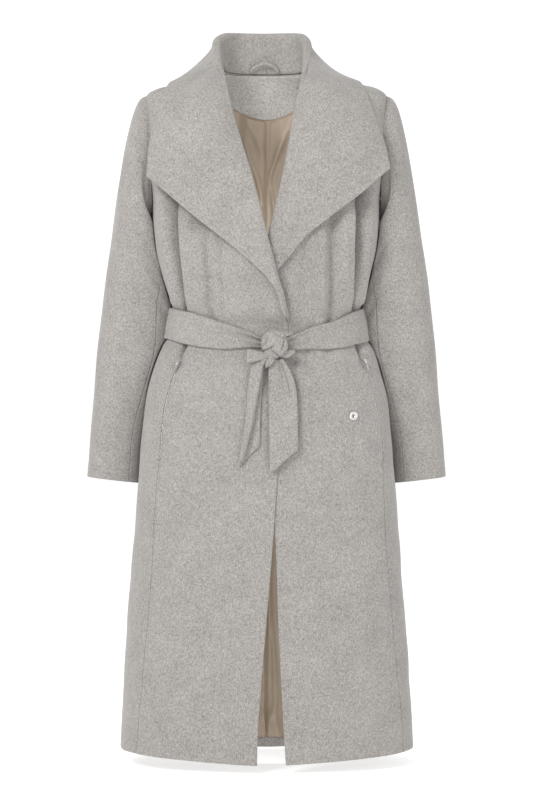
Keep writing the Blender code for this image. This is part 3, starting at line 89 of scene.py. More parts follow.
# Levels between which something acts: where it starts, is full, falls and is gone.
ON_ZIP = (ZIP_BOTTOM_LEVEL - 0.02, ZIP_BOTTOM_LEVEL, ZIP_TOP_LEVEL - 0.006, ZIP_TOP_LEVEL + 0.004)
BELT_PULL = (-0.62, -0.45, -0.38, -0.25)
UNDER_BELT = (-0.456, -0.444, -0.388, -0.372)
BODICE = (-0.412, -0.402, -0.230, -0.160)
OVER_LAPEL = (-0.385, -0.360, -0.255, -0.170)
ARMHOLE_MIDDLE = -0.131
ARMHOLE_HALF_HEIGHT = 0.104
ARMHOLE_FRONT = 0.060
ARMHOLE_BACK = 0.072
SLEEVE_LENGTH = 0.655
SLEEVE_POWER = 2.2
SLEEVE_RADIUS = 0.058  # turns a sleeve's angle into a distance round it
SLEEVE_SEAM_RADIUS = 0.055
SLEEVE_SWELL = 0.038
SWELL_TURN = math.radians(6.0)
FACING_BOTTOM = -0.057  # lower edge of the neck facing at the middle of the back
FACING_CLIMB = 0.016  # how far that edge has risen where it is FACING_CURVE of the way round
FACING_CURVE = 0.36
FACING_MIDDLE_LEVEL = -0.037  # below it the facing's rows turn into its curved edge
LINING_TOP_LEVEL = -0.080  # below it the lining's rows are level
LINING_FOLDS = 0.0018
FACING_LIFT = -CLOTH - CLEAR - 0.0005
LINING_LIFT = FACING_LIFT - 0.0008
INSIDE_SHARE = 0.75  # how far round the back the inside pieces reach
LOOP_RADIUS = 0.0030
LOOP_ENDS = (-0.0270, 0.0205)
LOOP_FOOT = 0.0195
LOOP_RISE = 0.0150
LOOP_LEAN = 0.0070
PIPING_RADIUS = 0.0012
RIGHT, LEFT = -1, 1  # the wearer's sides, and the sign of x there
SIDE_NAMES = {RIGHT: "right", LEFT: "left"}
SMALL = 1e-4  # step of the differences that give a normal

# Flat cut of what shows of each sheet: width, length and area.
CUTS = {
    "front_right": (0.34, 1.19, 0.230),
    "front_left": (0.34, 1.19, 0.232),
    "side": (0.21, 1.02, 0.172),
    "back": (0.47, 1.20, 0.445),
    "sleeve_upper": (0.28, 0.70, 0.150),
    "sleeve_under": (0.14, 0.60, 0.054),
    "collar_right": (0.30, 0.75, 0.092),
    "collar_left": (0.30, 0.72, 0.090),
    "belt_band": (0.06, 0.95, 0.0455),
    "belt_tail_narrow": (0.055, 0.19, 0.0080),
    "belt_tail_broad": (0.055, 0.20, 0.0083),
    "neck_facing": (0.33, 0.08, 0.021),
    "lining_back": (0.16, 1.10, 0.137),
    "hem_facing": (0.34, 0.03, 0.0053),
}

# ---------------------------------------------------------------- curves and tables
def columns(table, names):
    """The columns of a table as arrays, by name, in rising order of the first."""
    return dict(zip(names, np.array(sorted(table), float).T))


def flow(at, knots, values):
    """A smooth curve through values at rising knots that never overshoots them (monotone cubic)."""
    at = np.clip(np.asarray(at, float), knots[0], knots[-1])
    step = np.diff(knots)
    slope = np.diff(values) / step
    tangent = np.zeros(len(values))
    turning = slope[:-1] * slope[1:] <= 0
    total = np.where(turning, 1.0, slope[:-1] + slope[1:])
    tangent[1:-1] = np.where(turning, 0.0, 2 * slope[:-1] * slope[1:] / total)
    tangent[0], tangent[-1] = slope[0], slope[-1]
    i = np.clip(np.searchsorted(knots, at, side="right") - 1, 0, len(step) - 1)
    t = (at - knots[i]) / step[i]
    rest = 1 - t
    return (
        (1 + 2 * t) * rest**2 * values[i]
        + t * rest**2 * step[i] * tangent[i]
        + t**2 * (3 - 2 * t) * values[i + 1]
        - t**2 * rest * step[i] * tangent[i + 1]
    )


def rise(at, start, end):
    """0 before start, 1 after end, and smooth between."""
    t = np.clip((np.asarray(at, float) - start) / (end - start), 0, 1)
    return t * t * (3 - 2 * t)


def plateau(at, start, full, fall, gone):
    """0 before start and after gone, 1 from full to fall, and smooth between."""
    return rise(at, start, full) * (1 - rise(at, fall, gone))


def unit(vectors):
    return vectors / np.maximum(np.linalg.norm(vectors, axis=-1, keepdims=True), 1e-12)


def mix(a, b, t):
    return a + (b - a) * t


def mound(away):
    """A soft hill: 1 at no distance, and hardly anything at twice the half width."""
    return np.exp(-(away**2))


def rounded_power(value, power):
    return np.sign(value) * np.abs(value) ** power


def softly(value, limit, width=0.003):
    """The value, held above the limit without a kink."""
    return (value + limit + np.sqrt((value - limit) ** 2 + width**2)) / 2


def finer(values, step):
    """Values with others set between them, none further apart than a step."""
    parts = [np.array([values[0]], float)]
    for one, two in zip(values[:-1], values[1:]):
        count = max(1, math.ceil(abs(two - one) / step))
        parts.append(one + (two - one) * np.arange(1, count + 1) / count)
    return np.concatenate(parts)


# How many columns a piece has across, and about how wide it is.
ACROSS = {
    "front": (88, 0.20),
    "side": (42, 0.13),
    "back": (84, 0.40),
    "sleeve_upper": (84, 0.22),
    "sleeve_under": (44, 0.09),
    "collar": (56, 0.16),
    "belt": (23, 0.05),
    "tail": (44, 0.03),
    "inside": (76, 0.30),
    "lining": (58, 0.14),
}
EDGE_STEPS = np.array([0.0002, 0.0005, 0.0009, 0.0014, 0.0021, 0.0030, 0.0040, 0.0050, 0.0060, 0.0070])


def shares(count, length, near_start=True, near_end=True):
    """Shares from 0 to 1, closer together near the edges of a piece of that length."""
    parts = [np.linspace(0, 1, count)]
    if near_start:
        parts.append(EDGE_STEPS / length)
    if near_end:
        parts.append(1 - EDGE_STEPS / length)
    return np.unique(np.round(np.concatenate(parts), 6))


def line_grid(level, share):
    return np.repeat(level[:, None], len(share), 1)


# ---------------------------------------------------------------- body
# Sections of the body, from the hem up. Powers say how square the section is: 2 is an ellipse.
SECTION_COLUMNS = ("level", "half_width", "front", "back", "front_power", "back_power")
SECTIONS = (
    (-1.131, 0.2485, 0.147, 0.138, 2.4, 2.2),
    (-1.000, 0.2415, 0.142, 0.132, 2.4, 2.2),
    (-0.800, 0.2270, 0.136, 0.127, 2.4, 2.15),
    (-0.690, 0.2185, 0.132, 0.124, 2.4, 2.1),
    (-0.600, 0.2105, 0.128, 0.121, 2.4, 2.1),
    (-0.540, 0.2035, 0.124, 0.116, 2.4, 2.1),
    (-0.500, 0.1945, 0.119, 0.110, 2.4, 2.1),
    (-0.467, 0.1836, 0.113, 0.101, 2.4, 2.1),
    (-0.450, 0.1755, 0.108, 0.095, 2.4, 2.1),
    (-0.4405, 0.1690, 0.1055, 0.091, 2.4, 2.1),
    (-0.414, 0.1640, 0.1040, 0.088, 2.4, 2.2),
    (-0.388, 0.1595, 0.1040, 0.088, 2.5, 2.3),
    (-0.370, 0.1655, 0.1080, 0.092, 2.7, 2.4),
    (-0.330, 0.1770, 0.1160, 0.098, 3.0, 2.5),
    (-0.285, 0.1875, 0.1230, 0.103, 3.2, 2.7),
    (-0.235, 0.1925, 0.1260, 0.107, 3.4, 2.9),
    (-0.177, 0.1965, 0.1220, 0.108, 3.6, 3.0),
    (-0.119, 0.2000, 0.1130, 0.105, 3.6, 3.0),
    (-0.075, 0.2020, 0.1020, 0.100, 3.5, 3.0),
    (-0.040, 0.2038, 0.0900, 0.094, 3.2, 2.9),
    (-0.027, 0.2030, 0.0830, 0.090, 3.0, 2.8),
    (-0.017, 0.1836, 0.0770, 0.087, 2.8, 2.6),
    (-0.011, 0.1560, 0.0720, 0.084, 2.6, 2.5),
    (0.000, 0.1200, 0.0620, 0.079, 2.4, 2.4),
    (0.010, 0.0900, 0.0480, 0.074, 2.2, 2.3),
    (0.018, 0.0740, 0.0360, 0.0690, 2.2, 2.3),
)
# Heights of the rows of every body panel, from the neck down.
LEVELS = (
    0.018, 0.011, 0.003, -0.006, -0.014, -0.020, -0.027, -0.037, -0.055, -0.080, -0.115, -0.150,
    -0.180, -0.210, -0.245, -0.285, -0.320, -0.350, -0.372, -0.388, -0.414, -0.4405, -0.454, -0.467,
    -0.469, -0.492, -0.530, -0.585, -0.644, -0.646, -0.730, -0.860, -0.990, -1.1135, -1.131,
)
ROW_STEP = 0.0059
SLEEVE_ROW_STEP = 0.0062
LINING_ROW_STEP = 0.0076
TAIL_ROW_STEP = 0.0022
ALL_LEVELS = [finer(LEVELS, ROW_STEP), HEM_LEVEL + EDGE_STEPS, TIP_LEVEL - EDGE_STEPS * 1.5]
PANEL_LEVELS = np.unique(np.round(np.concatenate(ALL_LEVELS), 6))[::-1]
# Inner edge of each front, from the neck seam down the lapel to the break, then the free edge.
EDGE_COLUMNS = ("z", "right_x", "left_x")
FRONT_EDGE = (
    (-1.143, -0.0150, 0.0315),
    (-1.110, -0.0147, 0.0295),
    (-1.010, -0.0082, 0.0240),
    (-0.910, 0.0000, 0.0190),
    (-0.763, 0.0120, 0.0137),
    (-0.685, 0.0169, 0.0030),
    (-0.550, 0.0285, -0.0150),
    (-0.450, 0.0350, -0.0270),
    (-0.4235, 0.0355, -0.0260),
    (-0.407, 0.0308, -0.0235),
    (-0.381, 0.0245, -0.0150),
    (-0.371, 0.0215, -0.0115),
    (-0.340, 0.0120, -0.0045),
    (-0.276, -0.0052, 0.0110),
    (-0.182, -0.0295, 0.0325),
    (-0.120, -0.0490, 0.0450),
    (-0.075, -0.0655, 0.0560),
    (-0.027, -0.0800, 0.0660),
    (0.000, -0.0840, 0.0710),
    (0.010, -0.0790, 0.0725),
    (0.018, -0.0725, 0.0725),
)
# Seam between front and side panel, which holds the pocket: distance from the middle of the coat.
POCKET_SEAM = (
    (-1.143, 0.2190, 0.2300),
    (-1.080, 0.2130, 0.2260),
    (-0.900, 0.1970, 0.2085),
    (-0.800, 0.1900, 0.2010),
    (-0.700, 0.1835, 0.1960),
    (-0.642, 0.1785, 0.1945),
    (-0.600, 0.1750, 0.1915),
    (-0.552, 0.1690, 0.1835),
    (-0.516, 0.1600, 0.1740),
    (-0.495, 0.1520, 0.1680),
    (-0.470, 0.1430, 0.1600),
    (-0.440, 0.1370, 0.1500),
    (-0.390, 0.1340, 0.1440),
    (-0.300, 0.1430, 0.1460),
    (-0.220, 0.1530, 0.1520),
    (-0.190, 0.1650, 0.1650),
    (-0.165, 0.1820, 0.1820),
    (-0.150, 0.1930, 0.1930),
)
# Seam between side and back panel, as an angle.
BACK_SEAM_COLUMNS = ("level", "degrees")
BACK_SEAM = ((-1.131, 112.0), (-0.600, 113.0), (-0.414, 115.0), (-0.250, 116.0), (-0.200, 115.0))
SECTION = columns(SECTIONS, SECTION_COLUMNS)
EDGE = columns(FRONT_EDGE, EDGE_COLUMNS)
POCKET = columns(POCKET_SEAM, EDGE_COLUMNS)
BACK = columns(BACK_SEAM, BACK_SEAM_COLUMNS)


def bend(angle, level):
    """How far the belt and the hem lower a row of the cloth at an angle."""
    toward_front = np.maximum(np.cos(angle), 0)
    toward_back = np.maximum(-np.cos(angle), 0)
    near_belt = plateau(level, *BELT_PULL)
    near_hem = 1 - rise(level, HEM_LEVEL, HEM_PULL_LEVEL)
    hem = HEM_DIP_FRONT * toward_front**2 + HEM_DIP_BACK * toward_back**2
    return -BELT_DIP * toward_front**1.6 * near_belt - hem * near_hem


def section_at(level):
    return [flow(level, SECTION["level"], SECTION[name]) for name in SECTION_COLUMNS[1:]]


def section_x(y, level, least=0.0):
    """Half the width of the body where it has this y."""
    half_width, front, back, front_power, back_power = section_at(level)
    depth = np.where(y < 0, front, back)
    power = np.where(y < 0, front_power, back_power)
    return half_width * np.clip(1 - np.abs(y / depth) ** power, least, 1) ** (1 / power)


def section_y(x, level, behind=False):
    """How far the body reaches before its axis, or behind it, where it has this x."""
    half_width, front, back, front_power, back_power = section_at(level)
    depth, power = (back, back_power) if behind else (front, front_power)
    return depth * np.clip(1 - np.abs(x / half_width) ** power, 0, 1) ** (1 / power)


def torso(angle, level):
    """The plain body: a rounded section at every level, in polar form round the vertical axis."""
    half_width, front, back, front_power, back_power = section_at(level)
    sine, cosine = np.sin(angle), np.cos(angle)
    depth = np.where(cosine > 0, front, back)
    power = np.where(cosine > 0, front_power, back_power)
    radius = (np.abs(sine / half_width) ** power + np.abs(cosine / depth) ** power) ** (-1 / power)
    return np.stack([radius * sine, -radius * cosine, level + bend(angle, level)], -1)


def torso_normal(angle, level):
    """Outward normal of the plain body, from differences along its two directions."""
    round_it = torso(angle + SMALL, level) - torso(angle - SMALL, level)
    low, high = np.clip(level - SMALL, HEM_LEVEL, None), np.clip(level + SMALL, None, NECK_LEVEL)
    return unit(np.cross(torso(angle, low) - torso(angle, high), round_it))


def radius_at(angle, level):
    return np.linalg.norm(torso(angle, level)[..., :2], axis=-1)


def lifted(angle, level, out=0.0):
    """A place at a height over the plain body."""
    angle, level, out = np.broadcast_arrays(angle, level, out)
    return torso(angle, level) + torso_normal(angle, level) * out[..., None]


def angle_at_x(x, level):
    """The angle at which the front of the section at this level has this x."""
    return np.arctan2(x, section_y(x, level))


def angle_at_y(y, level):
    """The angle, on the +X side, at which the section has this y."""
    return np.arctan2(section_x(y, level), -y)


def table_angle(table, name, level):
    """The angle of a line given as x by true height, at a level: the row's own bend is taken off."""
    level = np.asarray(level, float)
    z = level
    for _ in range(5):
        x = flow(z, table["z"], table[name])
        angle = angle_at_x(x, level)
        z = level + bend(angle, level)
    return angle


def front_edge_angle(side, level):
    return table_angle(EDGE, SIDE_NAMES[side] + "_x", level)


def armhole_y(level):
    """Front and back y of the armhole at a level."""
    height = np.clip((level - ARMHOLE_MIDDLE) / ARMHOLE_HALF_HEIGHT, -1, 1)
    share = np.sqrt(1 - height**2)
    return -ARMHOLE_FRONT * share, ARMHOLE_BACK * share


def pocket_seam_angle(side, level):
    """The pocket seam, measured on the +X side: it leaves the armhole at its notch."""
    at_notch = angle_at_y(armhole_y(NOTCH_LEVEL)[0], NOTCH_LEVEL)
    below = table_angle(POCKET, SIDE_NAMES[side] + "_x", level)
    return mix(at_notch, below, rise(-np.asarray(level), -NOTCH_LEVEL, 0.185))


def back_seam_angle(level):
    at_notch = angle_at_y(armhole_y(NOTCH_LEVEL)[1], NOTCH_LEVEL)
    below = np.radians(flow(level, BACK["level"], BACK["degrees"]))
    return mix(at_notch, below, rise(-np.asarray(level), -NOTCH_LEVEL, 0.21))


def outer_angle(level, arm, seam):
    """Where a front or the back ends on its outer side: shoulder seam, armhole, then side seam."""
    end = np.where(level > NOTCH_LEVEL, angle_at_y(armhole_y(level)[arm], level), seam)
    return np.where(level >= TIP_LEVEL, math.pi / 2, end)


def back_outer_angle(level):
    return outer_angle(level, 1, back_seam_angle(level))


def trimmed(start, end, level, start_gap=SEAM / 2, end_gap=SEAM / 2):
    """Both angles moved towards each other, by half a seam or by half a pocket's opening."""
    toward = np.sign(end - start)
    start_turn = toward * start_gap / radius_at(start, level)
    end_turn = toward * end_gap / radius_at(end, level)
    return start + start_turn, end - end_turn


def pocket_gap(level):
    """Half of what the front and the side panel keep between them: wider where the zip is set in."""
    inside = (level < ZIP_TOP_LEVEL) & (level > ZIP_BOTTOM_LEVEL)
    return np.where(inside, ZIP_OPENING / 2, SEAM / 2)


def side_top_level(side, share):
    """The level at which a column of the side panel meets the bottom of the armhole."""
    low = np.full(np.shape(share), ARMHOLE_MIDDLE - ARMHOLE_HALF_HEIGHT)
    high = np.full(np.shape(share), NOTCH_LEVEL)
    for _ in range(30):
        level = (low + high) / 2
        angle = mix(pocket_seam_angle(side, level), back_seam_angle(level), share)
        y = torso(angle, level)[..., 1]
        reach = np.where(y < 0, ARMHOLE_FRONT, ARMHOLE_BACK)
        inside = (y / reach) ** 2 + ((level - ARMHOLE_MIDDLE) / ARMHOLE_HALF_HEIGHT) ** 2 < 1
        low, high = np.where(inside, low, level), np.where(inside, level, high)
    return (low + high) / 2


# ---------------------------------------------------------------- folds and creases
# Straight folds down the fronts, wide and then narrow. The columns are the side, the top's x and level,
# the bottom's x and level, the half width and the height, which is below zero for a trough.
FOLDS = (
    (RIGHT, 0.075, -0.240, 0.062, -0.386, 0.012, -0.0035),
    (RIGHT, 0.110, -0.220, 0.104, -0.386, 0.014, 0.0035),
    (LEFT, 0.066, -0.230, 0.062, -0.386, 0.010, -0.0040),
    (LEFT, 0.092, -0.220, 0.088, -0.386, 0.011, 0.0040),
    (LEFT, 0.118, -0.210, 0.110, -0.386, 0.010, -0.0035),
    (RIGHT, 0.150, -0.440, 0.184, -0.560, 0.011, -0.0050),
    (RIGHT, 0.105, -0.440, 0.110, -0.540, 0.012, -0.0025),
    (RIGHT, 0.060, -0.440, 0.062, -0.520, 0.011, 0.0020),
    (LEFT, 0.075, -0.440, 0.082, -0.560, 0.013, -0.0035),
    (LEFT, 0.112, -0.440, 0.124, -0.540, 0.013, 0.0030),
    (LEFT, 0.045, -0.440, 0.050, -0.530, 0.010, -0.0025),
)
CREASE_LINES = (
    (RIGHT, 0.132, -0.200, 0.124, -0.400, 0.0075, 0.0034),
    (RIGHT, 0.100, -0.240, 0.090, -0.400, 0.0060, -0.0060),
    (RIGHT, 0.084, -0.300, 0.074, -0.400, 0.0070, 0.0020),
    (RIGHT, 0.060, -0.330, 0.052, -0.400, 0.0060, -0.0016),
    (RIGHT, 0.136, -0.438, 0.166, -0.500, 0.0042, -0.0120),
    (RIGHT, 0.149, -0.438, 0.180, -0.505, 0.0080, 0.0050),
    (RIGHT, 0.080, -0.450, 0.086, -0.540, 0.0070, -0.0014),
    (RIGHT, 0.040, -0.455, 0.038, -0.530, 0.0060, 0.0012),
    (LEFT, 0.130, -0.200, 0.130, -0.400, 0.0075, 0.0034),
    (LEFT, 0.109, -0.210, 0.106, -0.400, 0.0055, -0.0070),
    (LEFT, 0.095, -0.230, 0.093, -0.400, 0.0060, 0.0032),
    (LEFT, 0.080, -0.240, 0.078, -0.400, 0.0060, -0.0018),
    (LEFT, 0.150, -0.438, 0.172, -0.495, 0.0040, -0.0110),
    (LEFT, 0.162, -0.438, 0.186, -0.505, 0.0080, 0.0045),
    (LEFT, 0.126, -0.440, 0.132, -0.530, 0.0070, 0.0022),
    (LEFT, 0.064, -0.440, 0.069, -0.540, 0.0055, -0.0032),
    (LEFT, 0.052, -0.440, 0.057, -0.530, 0.0070, 0.0018),
    (LEFT, 0.100, -0.440, 0.108, -0.560, 0.0075, -0.0034),
)
# How a fold comes and goes along its length: where it starts, is full, falls and is gone.
FOLD_FADES = {"above": (0.0, 0.35, 0.8, 1.0), "below": (0.0, 0.12, 0.3, 1.0)}
CREASE_FADES = {"above": (0.0, 0.35, 1.0, 1.05), "below": (-0.15, -0.05, 0.20, 1.0)}
# The deep fold along the pocket seam above the belt: how far the front stands over the side panel.
CREASE_COLUMNS = ("level", "over", "under")
CREASE = columns(
    (
        (-0.600, 0.0000, 0.0000),
        (-0.455, 0.0000, 0.0000),
        (-0.4405, 0.0000, 0.0040),
        (-0.380, 0.0000, 0.0040),
        (-0.355, 0.0055, 0.0075),
        (-0.320, 0.0060, 0.0070),
        (-0.250, 0.0045, 0.0055),
        (-0.185, 0.0015, 0.0020),
        (-0.150, 0.0000, 0.0000),
    ),
    CREASE_COLUMNS,
)
OVER_WIDTH, UNDER_WIDTH = 0.028, 0.013
# Slow waves: how many radians a metre they turn round the body and down it, their start and height.
WAVES = (
    (31.0, 15.0, 0.4, 0.00055),
    (-52.0, 27.0, 1.9, 0.00040),
    (83.0, -39.0, 4.1, 0.00022),
    (19.0, -69.0, 2.7, 0.00030),
    (-111.0, 93.0, 0.9, 0.00012),
)
# The gully of the side panel behind that seam, and the hill beyond it.
GULLY_DEPTH = 0.0200
GULLY_DEPTH_AT_BELT = 0.0270
GULLY_WIDTH = 0.0140
GULLY_WIDTH_AT_BELT = 0.0056
GULLY_HILL = 0.0060
HILL_OFF, HILL_WIDTH = 0.031, 0.012
STITCH_OFF = 0.0060
STITCH_DIP = 0.0007
# Where a front lies deeper under its lapel, and where it is held and lies smooth: side, x, z, reach
# and depth.
HOLLOWS = (
    (RIGHT, 0.152, -0.205, 0.030, 0.0170),
    (RIGHT, 0.108, -0.250, 0.021, 0.0140),
    (LEFT, 0.156, -0.200, 0.030, 0.0170),
    (LEFT, 0.110, -0.240, 0.021, 0.0110),
)
HELD = (
    (LEFT, 0.144, -0.5705, 0.012, 0.0004),
    (RIGHT, 0.149, -0.4820, 0.011, 0.0042),
    (LEFT, 0.166, -0.4790, 0.011, 0.0042),
)
# Short creases of back, sleeves and lining: place round (in degrees for a sleeve) and down, slant, half
# length, half width and height.
BACK_CREASES = (
    (-0.128, -0.330, 0.20, 0.052, 0.0080, 0.0052),
    (-0.084, -0.345, 0.12, 0.045, 0.0095, 0.0044),
    (-0.030, -0.352, -0.05, 0.036, 0.0080, 0.0026),
    (0.046, -0.350, -0.08, 0.040, 0.0090, 0.0034),
    (0.098, -0.338, -0.16, 0.055, 0.0090, 0.0050),
    (0.140, -0.310, -0.24, 0.050, 0.0075, 0.0040),
    (-0.150, -0.205, 0.55, 0.040, 0.0085, 0.0034),
    (0.152, -0.190, -0.50, 0.044, 0.0085, 0.0036),
    (-0.110, -0.500, -0.12, 0.052, 0.0090, 0.0036),
    (-0.060, -0.490, -0.04, 0.038, 0.0080, 0.0024),
    (0.072, -0.505, 0.08, 0.055, 0.0095, 0.0034),
    (0.124, -0.492, 0.16, 0.044, 0.0080, 0.0030),
)
SLEEVE_CREASES = (
    (100.0, 0.060, 0.35, 0.060, 0.0080, 0.0022),
    (60.0, 0.105, -0.25, 0.070, 0.0090, -0.0020),
    (30.0, 0.160, 0.20, 0.080, 0.0100, 0.0018),
    (125.0, 0.250, 0.55, 0.050, 0.0075, -0.0022),
    (112.0, 0.290, 0.60, 0.055, 0.0080, 0.0024),
    (128.0, 0.330, 0.45, 0.050, 0.0075, -0.0018),
    (75.0, 0.400, -0.15, 0.090, 0.0100, 0.0016),
    (40.0, 0.470, 0.12, 0.100, 0.0110, -0.0014),
    (95.0, 0.520, 0.10, 0.080, 0.0090, -0.0014),
    (250.0, 0.280, -0.50, 0.060, 0.0085, 0.0020),
    (285.0, 0.120, 0.30, 0.080, 0.0100, -0.0018),
    (310.0, 0.380, 0.20, 0.090, 0.0100, 0.0014),
)
WRINKLES = (
    (-0.024, -0.105, -0.45, 0.030, 0.0045, 0.0050),
    (-0.011, -0.140, -0.30, 0.034, 0.0040, 0.0040),
    (-0.030, -0.165, -0.20, 0.030, 0.0050, 0.0045),
    (-0.012, -0.205, 0.12, 0.036, 0.0040, 0.0045),
    (-0.008, -0.270, -0.08, 0.040, 0.0035, 0.0040),
    (0.015, -0.095, 0.50, 0.026, 0.0045, 0.0045),
    (0.026, -0.135, 0.35, 0.034, 0.0045, 0.0050),
    (0.012, -0.175, 0.22, 0.034, 0.0040, 0.0040),
    (0.014, -0.240, -0.10, 0.036, 0.0040, 0.0045),
    (0.008, -0.310, 0.06, 0.036, 0.0035, 0.0035),
    (-0.004, -0.900, -0.02, 0.110, 0.0050, 0.0050),
    (0.008, -0.940, 0.03, 0.130, 0.0040, 0.0045),
    (-0.013, -1.000, 0.05, 0.080, 0.0045, 0.0050),
    (0.019, -1.030, -0.04, 0.070, 0.0045, 0.0050),
    (-0.007, -1.085, -0.35, 0.024, 0.0050, 0.0060),
    (0.006, -1.075, 0.40, 0.026, 0.0040, 0.0055),
    (0.015, -1.098, -0.25, 0.016, 0.0045, 0.0055),
    (-0.018, -1.095, 0.30, 0.018, 0.0045, 0.0050),
)


def straight_creases(table, fades, side, angle, level):
    """The height of each straight crease of a side: its own times a fade along it and a mound across."""
    radius = radius_at(angle, level)
    for line_side, top_x, top, bottom_x, bottom, half_width, size in table:
        if line_side == side:
            fade = fades["below" if bottom < BELT_BOTTOM_LEVEL else "above"]
            along = (level - top) / (bottom - top)
            x = side * mix(top_x, bottom_x, np.clip(along, 0, 1))
            off = (angle - angle_at_x(x, level)) * radius / half_width
            yield size * plateau(along, *fade) * mound(off)


def short_creases(table, off_round, down):
    """The height of all the short creases of a table, from the distance round and the place down."""
    height = 0.0
    for middle, low, slant, half_length, half_width, size in table:
        off = down - low
        across = (off_round(middle) - slant * off) / half_width
        height = height + size * mound(across) * mound(off / half_length)
    return height


def fold_height(side, angle, level):
    """How far the folds lift the cloth of one side at a place, before the belt presses it flat."""
    height = sum(straight_creases(FOLDS, FOLD_FADES, side, angle, level))
    off = (side * angle - pocket_seam_angle(side, level)) * radius_at(angle, level)
    hill = flow(level, CREASE["level"], CREASE["over"]) * mound(off / OVER_WIDTH)
    dale = -flow(level, CREASE["level"], CREASE["under"]) * mound(np.maximum(off, 0) / UNDER_WIDTH)
    return height + mix(hill, dale, rise(off, -0.0028, -0.0004))


def lap_lift(side, angle, level):
    """The wearer's right front lies on the left one, and higher up on the left lapel."""
    if side == LEFT:
        return np.zeros(np.shape(angle))
    x = torso(angle, level)[..., 0]
    near_edge = rise(x, -0.075, -0.035)
    return near_edge * mix(CLOTH + CLEAR, LAP_OVER_LAPEL, plateau(level, *OVER_LAPEL))


def front_lift(side, angle, level):
    return lap_lift(side, angle, level) + fold_height(side, angle, level)


def body(side, angle, level, lift=0.0):
    """A point of the cloth: the plain body, moved out by its folds, its lap and a lift."""
    return lifted(angle, level, front_lift(side, angle, level) + lift)


def waves(angle, level):
    """Slow waves round the body, which fade towards the middle of the back, where the angle jumps."""
    turned = np.mod(angle + math.pi, 2 * math.pi) - math.pi
    arc = turned * radius_at(angle, level)
    height = 0.0
    for turns, falls, start, size in WAVES:
        height = height + size * np.sin(turns * arc + falls * level + start)
    return height * rise(math.pi - np.abs(turned), 0.0, 0.3)


def gully(off, level):
    """Depth of the side panel under the front's edge above the belt, and the swell behind it."""
    in_bodice = plateau(level, *BODICE)
    low = rise(-level, 0.24, 0.38)
    before = rise(off, -0.0012, -0.0001)
    behind = mound(off / mix(GULLY_WIDTH, GULLY_WIDTH_AT_BELT, low))
    depth = mix(GULLY_DEPTH, GULLY_DEPTH_AT_BELT, low) * np.where(off < 0, before, behind)
    hill = GULLY_HILL * mound((off - HILL_OFF) / HILL_WIDTH) * rise(off, 0, HILL_WIDTH)
    return depth * in_bodice, hill * in_bodice


def spots(table, side, point):
    """For each spot of a side: the distance to it, its reach and its depth."""
    for spot_side, x, z, reach, depth in table:
        if spot_side == side:
            yield np.hypot(point[..., 0] - side * x, point[..., 2] - z), reach, depth


def relief(side, angle, level):
    """Waves, ridges and troughs of worn cloth over the plain fold lines; the belt presses the ridges flat."""
    point = torso(angle, level)
    off = (side * angle - pocket_seam_angle(side, level)) * radius_at(angle, level)
    depth, hill = gully(off, level)
    ridges = waves(angle, level) + hill
    troughs = -depth
    for crease in straight_creases(CREASE_LINES, CREASE_FADES, side, angle, level):
        ridges = ridges + np.maximum(crease, 0)
        troughs = troughs + np.minimum(crease, 0)
    at_front = rise(-point[..., 1], 0.0, 0.02)
    for away, reach, depth in spots(HOLLOWS, side, point):
        troughs = troughs - depth * at_front * mound(away / reach)
    on_zip = plateau(level, *ON_ZIP)
    calm = (1 - rise(np.abs(off), 0.003, 0.014)) * on_zip
    dip = STITCH_DIP * mound((np.abs(off) - STITCH_OFF) / 0.0011) * on_zip
    for away, reach, depth in spots(HELD, side, point):
        here = at_front * (1 - rise(away, reach * 0.6, reach * 1.4))
        calm = np.maximum(calm, here)
        dip = dip + depth * here
    free = 1 - plateau(level, *UNDER_BELT)
    return (ridges * free + troughs) * (1 - calm) - dip


def arc_behind(angle, level):
    """Distance round from the middle of the back."""
    return (angle - math.pi) * radius_at(angle, level)


def back_fullness(angle, level):
    """The blousing above the belt and the folds below it, on the side that is turned away."""
    arc = arc_behind(angle, level)
    free = 1 - plateau(level, *UNDER_BELT)
    return short_creases(BACK_CREASES, lambda middle: arc - middle, level) * free


def sleeve_relief(side, turn, along):
    """Creases and slow waves of a sleeve, in metres outward."""
    arc = turn * SLEEVE_RADIUS
    slow = 0.0005 * np.sin(arc * 70 + along * 18 + side) + 0.0004 * np.sin(along * 46 - arc * 30)

    def off_round(degrees):
        return (np.mod(turn - math.radians(degrees) + math.pi, 2 * math.pi) - math.pi) * SLEEVE_RADIUS

    height = slow + short_creases(SLEEVE_CREASES, off_round, along)
    return height * plateau(along, 0.0, 0.03, SLEEVE_LENGTH - 0.05, SLEEVE_LENGTH)


def lining_fullness(arc, level, folds):
    """How far the lining hangs in from the back: slow folds, wrinkles, and a seam down the middle."""
    wave = np.sin(arc * 95 + level * 3) + 0.6 * np.sin(arc * 210 + level * 7 + 1)
    wave = wave + 0.5 * np.sin(level * 22 + arc * 60)
    full = folds * (1.4 + wave) + short_creases(WRINKLES, lambda middle: arc - middle, level)
    return full * (1 - 0.9 * mound(arc / 0.0028))


# ---------------------------------------------------------------- finishes
class Value:
    """A shader socket that takes part in sums: every operator adds its Math node."""

    def __init__(self, look, socket):
        self.look = look
        self.socket = socket

    def maths(self, operation, first, second):
        made = self.look.node("ShaderNodeMath", {"operation": operation}, {0: first, 1: second})
        return Value(self.look, made.outputs[0])

    def __add__(self, other):
        return self.maths("ADD", self, other)

    def __sub__(self, other):
        return self.maths("SUBTRACT", self, other)

    def __rsub__(self, other):
        return self.maths("SUBTRACT", other, self)

    def __mul__(self, other):
        return self.maths("MULTIPLY", self, other)

    __radd__ = __add__
    __rmul__ = __mul__


